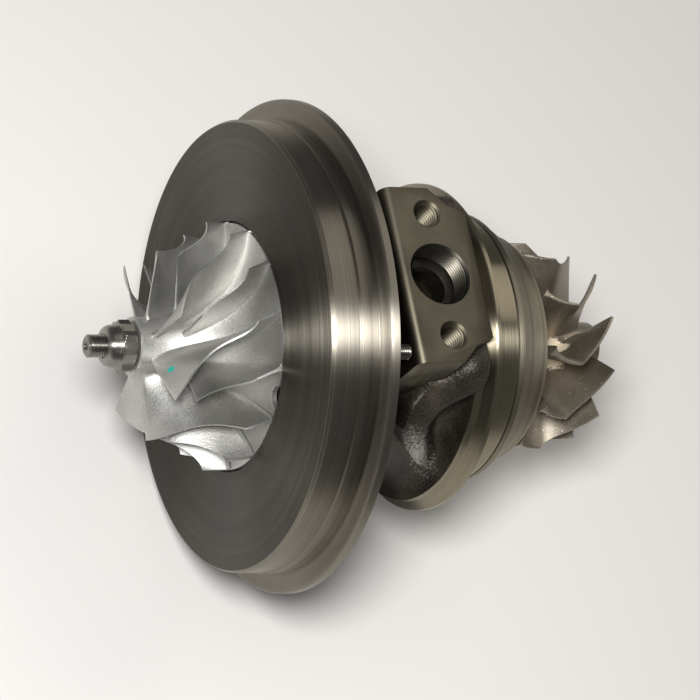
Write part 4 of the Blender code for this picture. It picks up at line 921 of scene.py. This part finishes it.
def makeInletPad(v):
    # a block with a bull-nosed front edge and two stepped rear corners, its edges broken, then tapped
    nose, top, foot, half, over = v["frontEdge"], v["top"], v["foot"], v["half"], v["over"]
    front, rear = frontX + v["front"], frontX + v["rear"]
    turn = np.linspace(math.pi, math.pi / 2, 9)
    bullNose = np.stack([front + nose + nose * np.cos(turn), top - nose + nose * np.sin(turn)], 1)
    side = np.concatenate([[(front, foot)], bullNose, [(rear + 0.001, top), (rear + 0.001, foot)]])
    piece = meshFrom("milledInletPad", [prism(side, "Y", -half, half)], milledIron, 24)
    # the notch's two inner corners are softened, and the cutters stand over the block
    notch = np.array([(rear - back, half - inward) for back, inward in v["cornerSteps"]])
    middle = roundCorners(notch, v["cornerRound"], 4)[5:-5]
    beyond = [(notch[-1][0], half + over), (rear + over, half + over), (rear + over, notch[0][1])]
    outline = np.array([notch[0], *middle, notch[-1], *beyond])
    back = [(rear, -0.06), (rear + 0.004, -0.06), (rear + 0.004, 0.06), (rear, 0.06)]
    outlines = [outline * (1, -1), outline, back]
    cutters = [meshFrom("edgeCut", [prism(rows, "Z", foot - 0.001, top + 0.001)]) for rows in outlines]
    cutAway(piece, cutters, 24)
    breakEdges(piece, v["edge"], 30)
    # the port's thread takes the darker copy: painted shade inside the hole
    taps = [tapCutter("portTap", 0, top, v["port"], 1, 96, paintedShadeTappedIron)]
    for sign in (-1, 1):
        taps.append(tapCutter("boltTap", sign * v["boltSpacing"] / 2, top, v["bolt"], 1))
    # the gallery below the port takes the near-black cast iron: painted shade deep in the hole
    taps.append(drillCutter("galleryCut", 0, 64, v["gallery"], sandCastIron))
    cutAway(piece, taps, 24)
    finish(piece, "bearing_housing", "housing")


def makeDrainPad(v):
    # a plate with quarter-circle corners, its edges broken, then bored and tapped from below
    corner, over = v["corner"], v["over"]
    turn = np.linspace(0, math.pi / 2, 8)
    outline = []
    for i, (signX, signY) in enumerate(((1, 1), (-1, 1), (-1, -1), (1, -1))):
        angle = turn + i * math.pi / 2
        x, y = padX + signX * (v["halfWidth"] - corner), signY * (v["halfLength"] - corner)
        outline.append(np.stack([x + corner * np.cos(angle), y + corner * np.sin(angle)], 1))
    surface = prism(np.concatenate(outline), "Z", v["face"], v["foot"])
    piece = meshFrom("milledDrainPad", [surface], milledIron, 24)
    breakEdges(piece, v["edge"], 40)
    bore = [(v["face"] - over, v["bore"]), (v["foot"] + over, v["bore"])]
    cutters = [drillCutter("drainBore", 0, 96, bore)]
    for sign in (-1, 1):
        cutters.append(tapCutter("drainTap", sign * v["boltSpacing"] / 2, v["face"], v["bolt"], -1))
    cutAway(piece, cutters, 24)
    finish(piece, "bearing_housing", "housing")


makeInletPad(padValues)
makeDrainPad(drainValues)


print("turbine flange and heat shield")
bandValues = {
    "front": 0.0867, "inner": 0.04, "root": 0.0697, "shoulder": 0.0902, "taperEnd": 0.0933,
    "rim": 0.0745, "rear": 0.0958, "groove": 0.0004, "pilot": 0.0618, "corner": 0.0006,
    "pilotEnd": 0.1131,
    "recess": [(0.1131, 0.052), (0.1041, 0.048), (0.1041, 0.0275), (0.1101, 0.0215)],
    "bossEnd": 0.133, "boss": 0.02, "hubBore": 0.0146, "web": 0.0976, "edge": 0.0003,
}
shieldValues = {
    "rimStart": 0.1134, "rimEnd": 0.1161, "rimRadius": 0.0618, "rimWidth": 0.004, "rimCorner": 0.0003,
    "bendStart": 0.1295, "bendRadius": 0.0529, "end": 0.1355, "endRadius": 0.0483, "bore": 0.0166,
    "thickness": 0.0012,
}


def makeBand(v):
    # one outline turned round the shaft: the clamp's taper, a narrow groove, the pilot and the recess
    rear, root, rim, pilot = v["rear"], v["root"], v["rim"], v["pilot"]
    corner, groove = v["corner"], v["groove"]
    outline = [
        (v["front"], v["inner"]), (v["front"], root - 0.0008), (v["front"] + 0.0004, root),
        (v["shoulder"], root + 0.0002), (v["taperEnd"], rim - 0.0004), (v["taperEnd"] + 0.0005, rim),
        (rear, rim), (rear, pilot + corner), (rear + corner, pilot - groove),
        (rear + corner + 0.001, pilot - groove), (rear + corner + 0.0014, pilot),
        (v["pilotEnd"] - corner, pilot), (v["pilotEnd"], pilot - corner), *v["recess"],
        (v["bossEnd"], v["boss"]), (v["bossEnd"], v["hubBore"]), (v["web"], v["hubBore"]),
        (v["web"], v["inner"]),
    ]
    surface = lathe(roundCorners(outline, v["edge"]), 360)
    piece = meshFrom("turnedTurbineFlange", [surface], finishTurnedIron)
    finish(piece, "bearing_housing", "housing")


def makeHeatShield(v):
    # a rim, a cone, a bend that is a quarter ellipse, and a face with a bore, one sheet thick throughout
    thickness, radius = v["thickness"], v["rimRadius"]
    foot = (v["rimStart"], radius - v["rimWidth"])
    rim = roundCorners([foot, (v["rimStart"], radius), (v["rimEnd"], radius)], v["rimCorner"])[4:]
    bend = quarterRows((v["bendStart"], v["bendRadius"]), (v["end"], v["endRadius"]), True, 10)
    inside = (bend - np.array([thickness, thickness * 0.5]))[::-1]
    face = [(v["end"], v["bore"]), (v["end"] - thickness, v["bore"])]
    outline = np.concatenate([rim, bend, face, inside, [foot]])
    piece = meshFrom("spunHeatShield", [lathe(outline, 360)], spunStainless)
    finish(piece, "heat_shield", "housing")


makeBand(bandValues)
makeHeatShield(shieldValues)


print("finishes of the inner parts")
nodeFinishes = {
    "ground_steel": groundSteel, "turned_steel": turnedSteel, "cast_aluminium": blastedAluminium,
    "cast_iron": sandCastIron, "machined_iron": milledIron, "shield_steel": spunStainless,
    "nickel_alloy": castNickelAlloy, "bronze": bearingBronze, "spring_steel": springSteel,
    "seal_rubber": mouldedRubber,
}
slotNames = {row["node"]: row["material_slot"] for row in frame["record"]["subparts"]}
for name, node in frame["nodes"].items():
    node.data.materials.clear()
    node.data.materials.append(nodeFinishes[slotNames[name]])
    shadeSmooth(node)


print("stage, lamps and camera")
stageValues = {
    "floorSize": 6.0, "floorColour": "#D6D4D0", "floorRoughness": 0.85, "worldColour": "#F4F5F7",
    "worldStrength": 0.2,
}
# the flash stands just above the lens, as in the picture, so its place is in the camera's own axes
lampValues = {
    "flashPower": 17.0, "flashSize": 0.25, "flashPlace": (-0.03, 0.12, 0.0), "flashColour": "#FFFFFF",
    "overheadPower": 6.0, "overheadSize": 1.2, "overheadPlace": (0.7, 0.5, 1.2),
    "overheadColour": "#FFF9F0",
}
cameraValues = {
    "azimuth": math.radians(-53.86), "elevation": math.radians(53.63), "roll": math.radians(47.94),
    "distance": 1.1166, "aim": (-0.00024, -0.00131, -0.00057), "lens": 127.664, "sensor": 36,
}


def makeStage(v):
    # a square floor under the part, and an even pale world
    low, half = cadBox[0][2], v["floorSize"] / 2
    corners = np.array([(-half, -half, low), (half, -half, low), (half, half, low), (-half, half, low)])
    material = bpy.data.materials.new("paintedFloor")
    material.use_nodes = True
    sockets = material.node_tree.nodes["Principled BSDF"].inputs
    sockets["Base Color"].default_value = hexColour(v["floorColour"])
    sockets["Roughness"].default_value = v["floorRoughness"]
    meshFrom("floor", [(corners, [np.array([[0, 1, 2, 3]])])], material)
    world = bpy.context.scene.world or bpy.data.worlds.new("world")
    bpy.context.scene.world = world
    world.use_nodes = True
    background = world.node_tree.nodes["Background"]
    background.inputs["Color"].default_value = hexColour(v["worldColour"])
    background.inputs["Strength"].default_value = v["worldStrength"]


def makeCamera(v):
    # back points from the aim to the camera; the picture is then rolled about that line
    a, e, roll = v["azimuth"], v["elevation"], v["roll"]
    back = Vector((math.sin(a) * math.cos(e), -math.cos(a) * math.cos(e), math.sin(e)))
    right = Vector((0, 0, 1)).cross(back).normalized()
    up = back.cross(right)
    right, up = right * math.cos(roll) + up * math.sin(roll), up * math.cos(roll) - right * math.sin(roll)
    data = bpy.data.cameras.new("camera")
    data.lens, data.sensor_width, data.clip_start = v["lens"], v["sensor"], 0.05
    camera = addObject("camera", data)
    matrix = Matrix((right, up, back)).transposed().to_4x4()
    matrix.translation = Vector(v["aim"]) + back * v["distance"]
    camera.matrix_world = matrix
    bpy.context.scene.camera = camera
    return matrix


def addLamp(name, place, v):
    # a round lamp that faces the origin
    data = bpy.data.lights.new(name, "AREA")
    data.shape, data.size, data.energy = "DISK", v[name + "Size"], v[name + "Power"]
    data.color = hexColour(v[name + "Colour"])[:3]
    lamp = addObject(name, data)
    lamp.location = place
    lamp.rotation_euler = Vector(place).to_track_quat("Z", "Y").to_euler()


makeStage(stageValues)
cameraPlace = makeCamera(cameraValues)
addLamp("flash", cameraPlace @ Vector(lampValues["flashPlace"]), lampValues)
addLamp("overhead", lampValues["overheadPlace"], lampValues)

bpy.context.scene.view_settings.view_transform = "Standard"
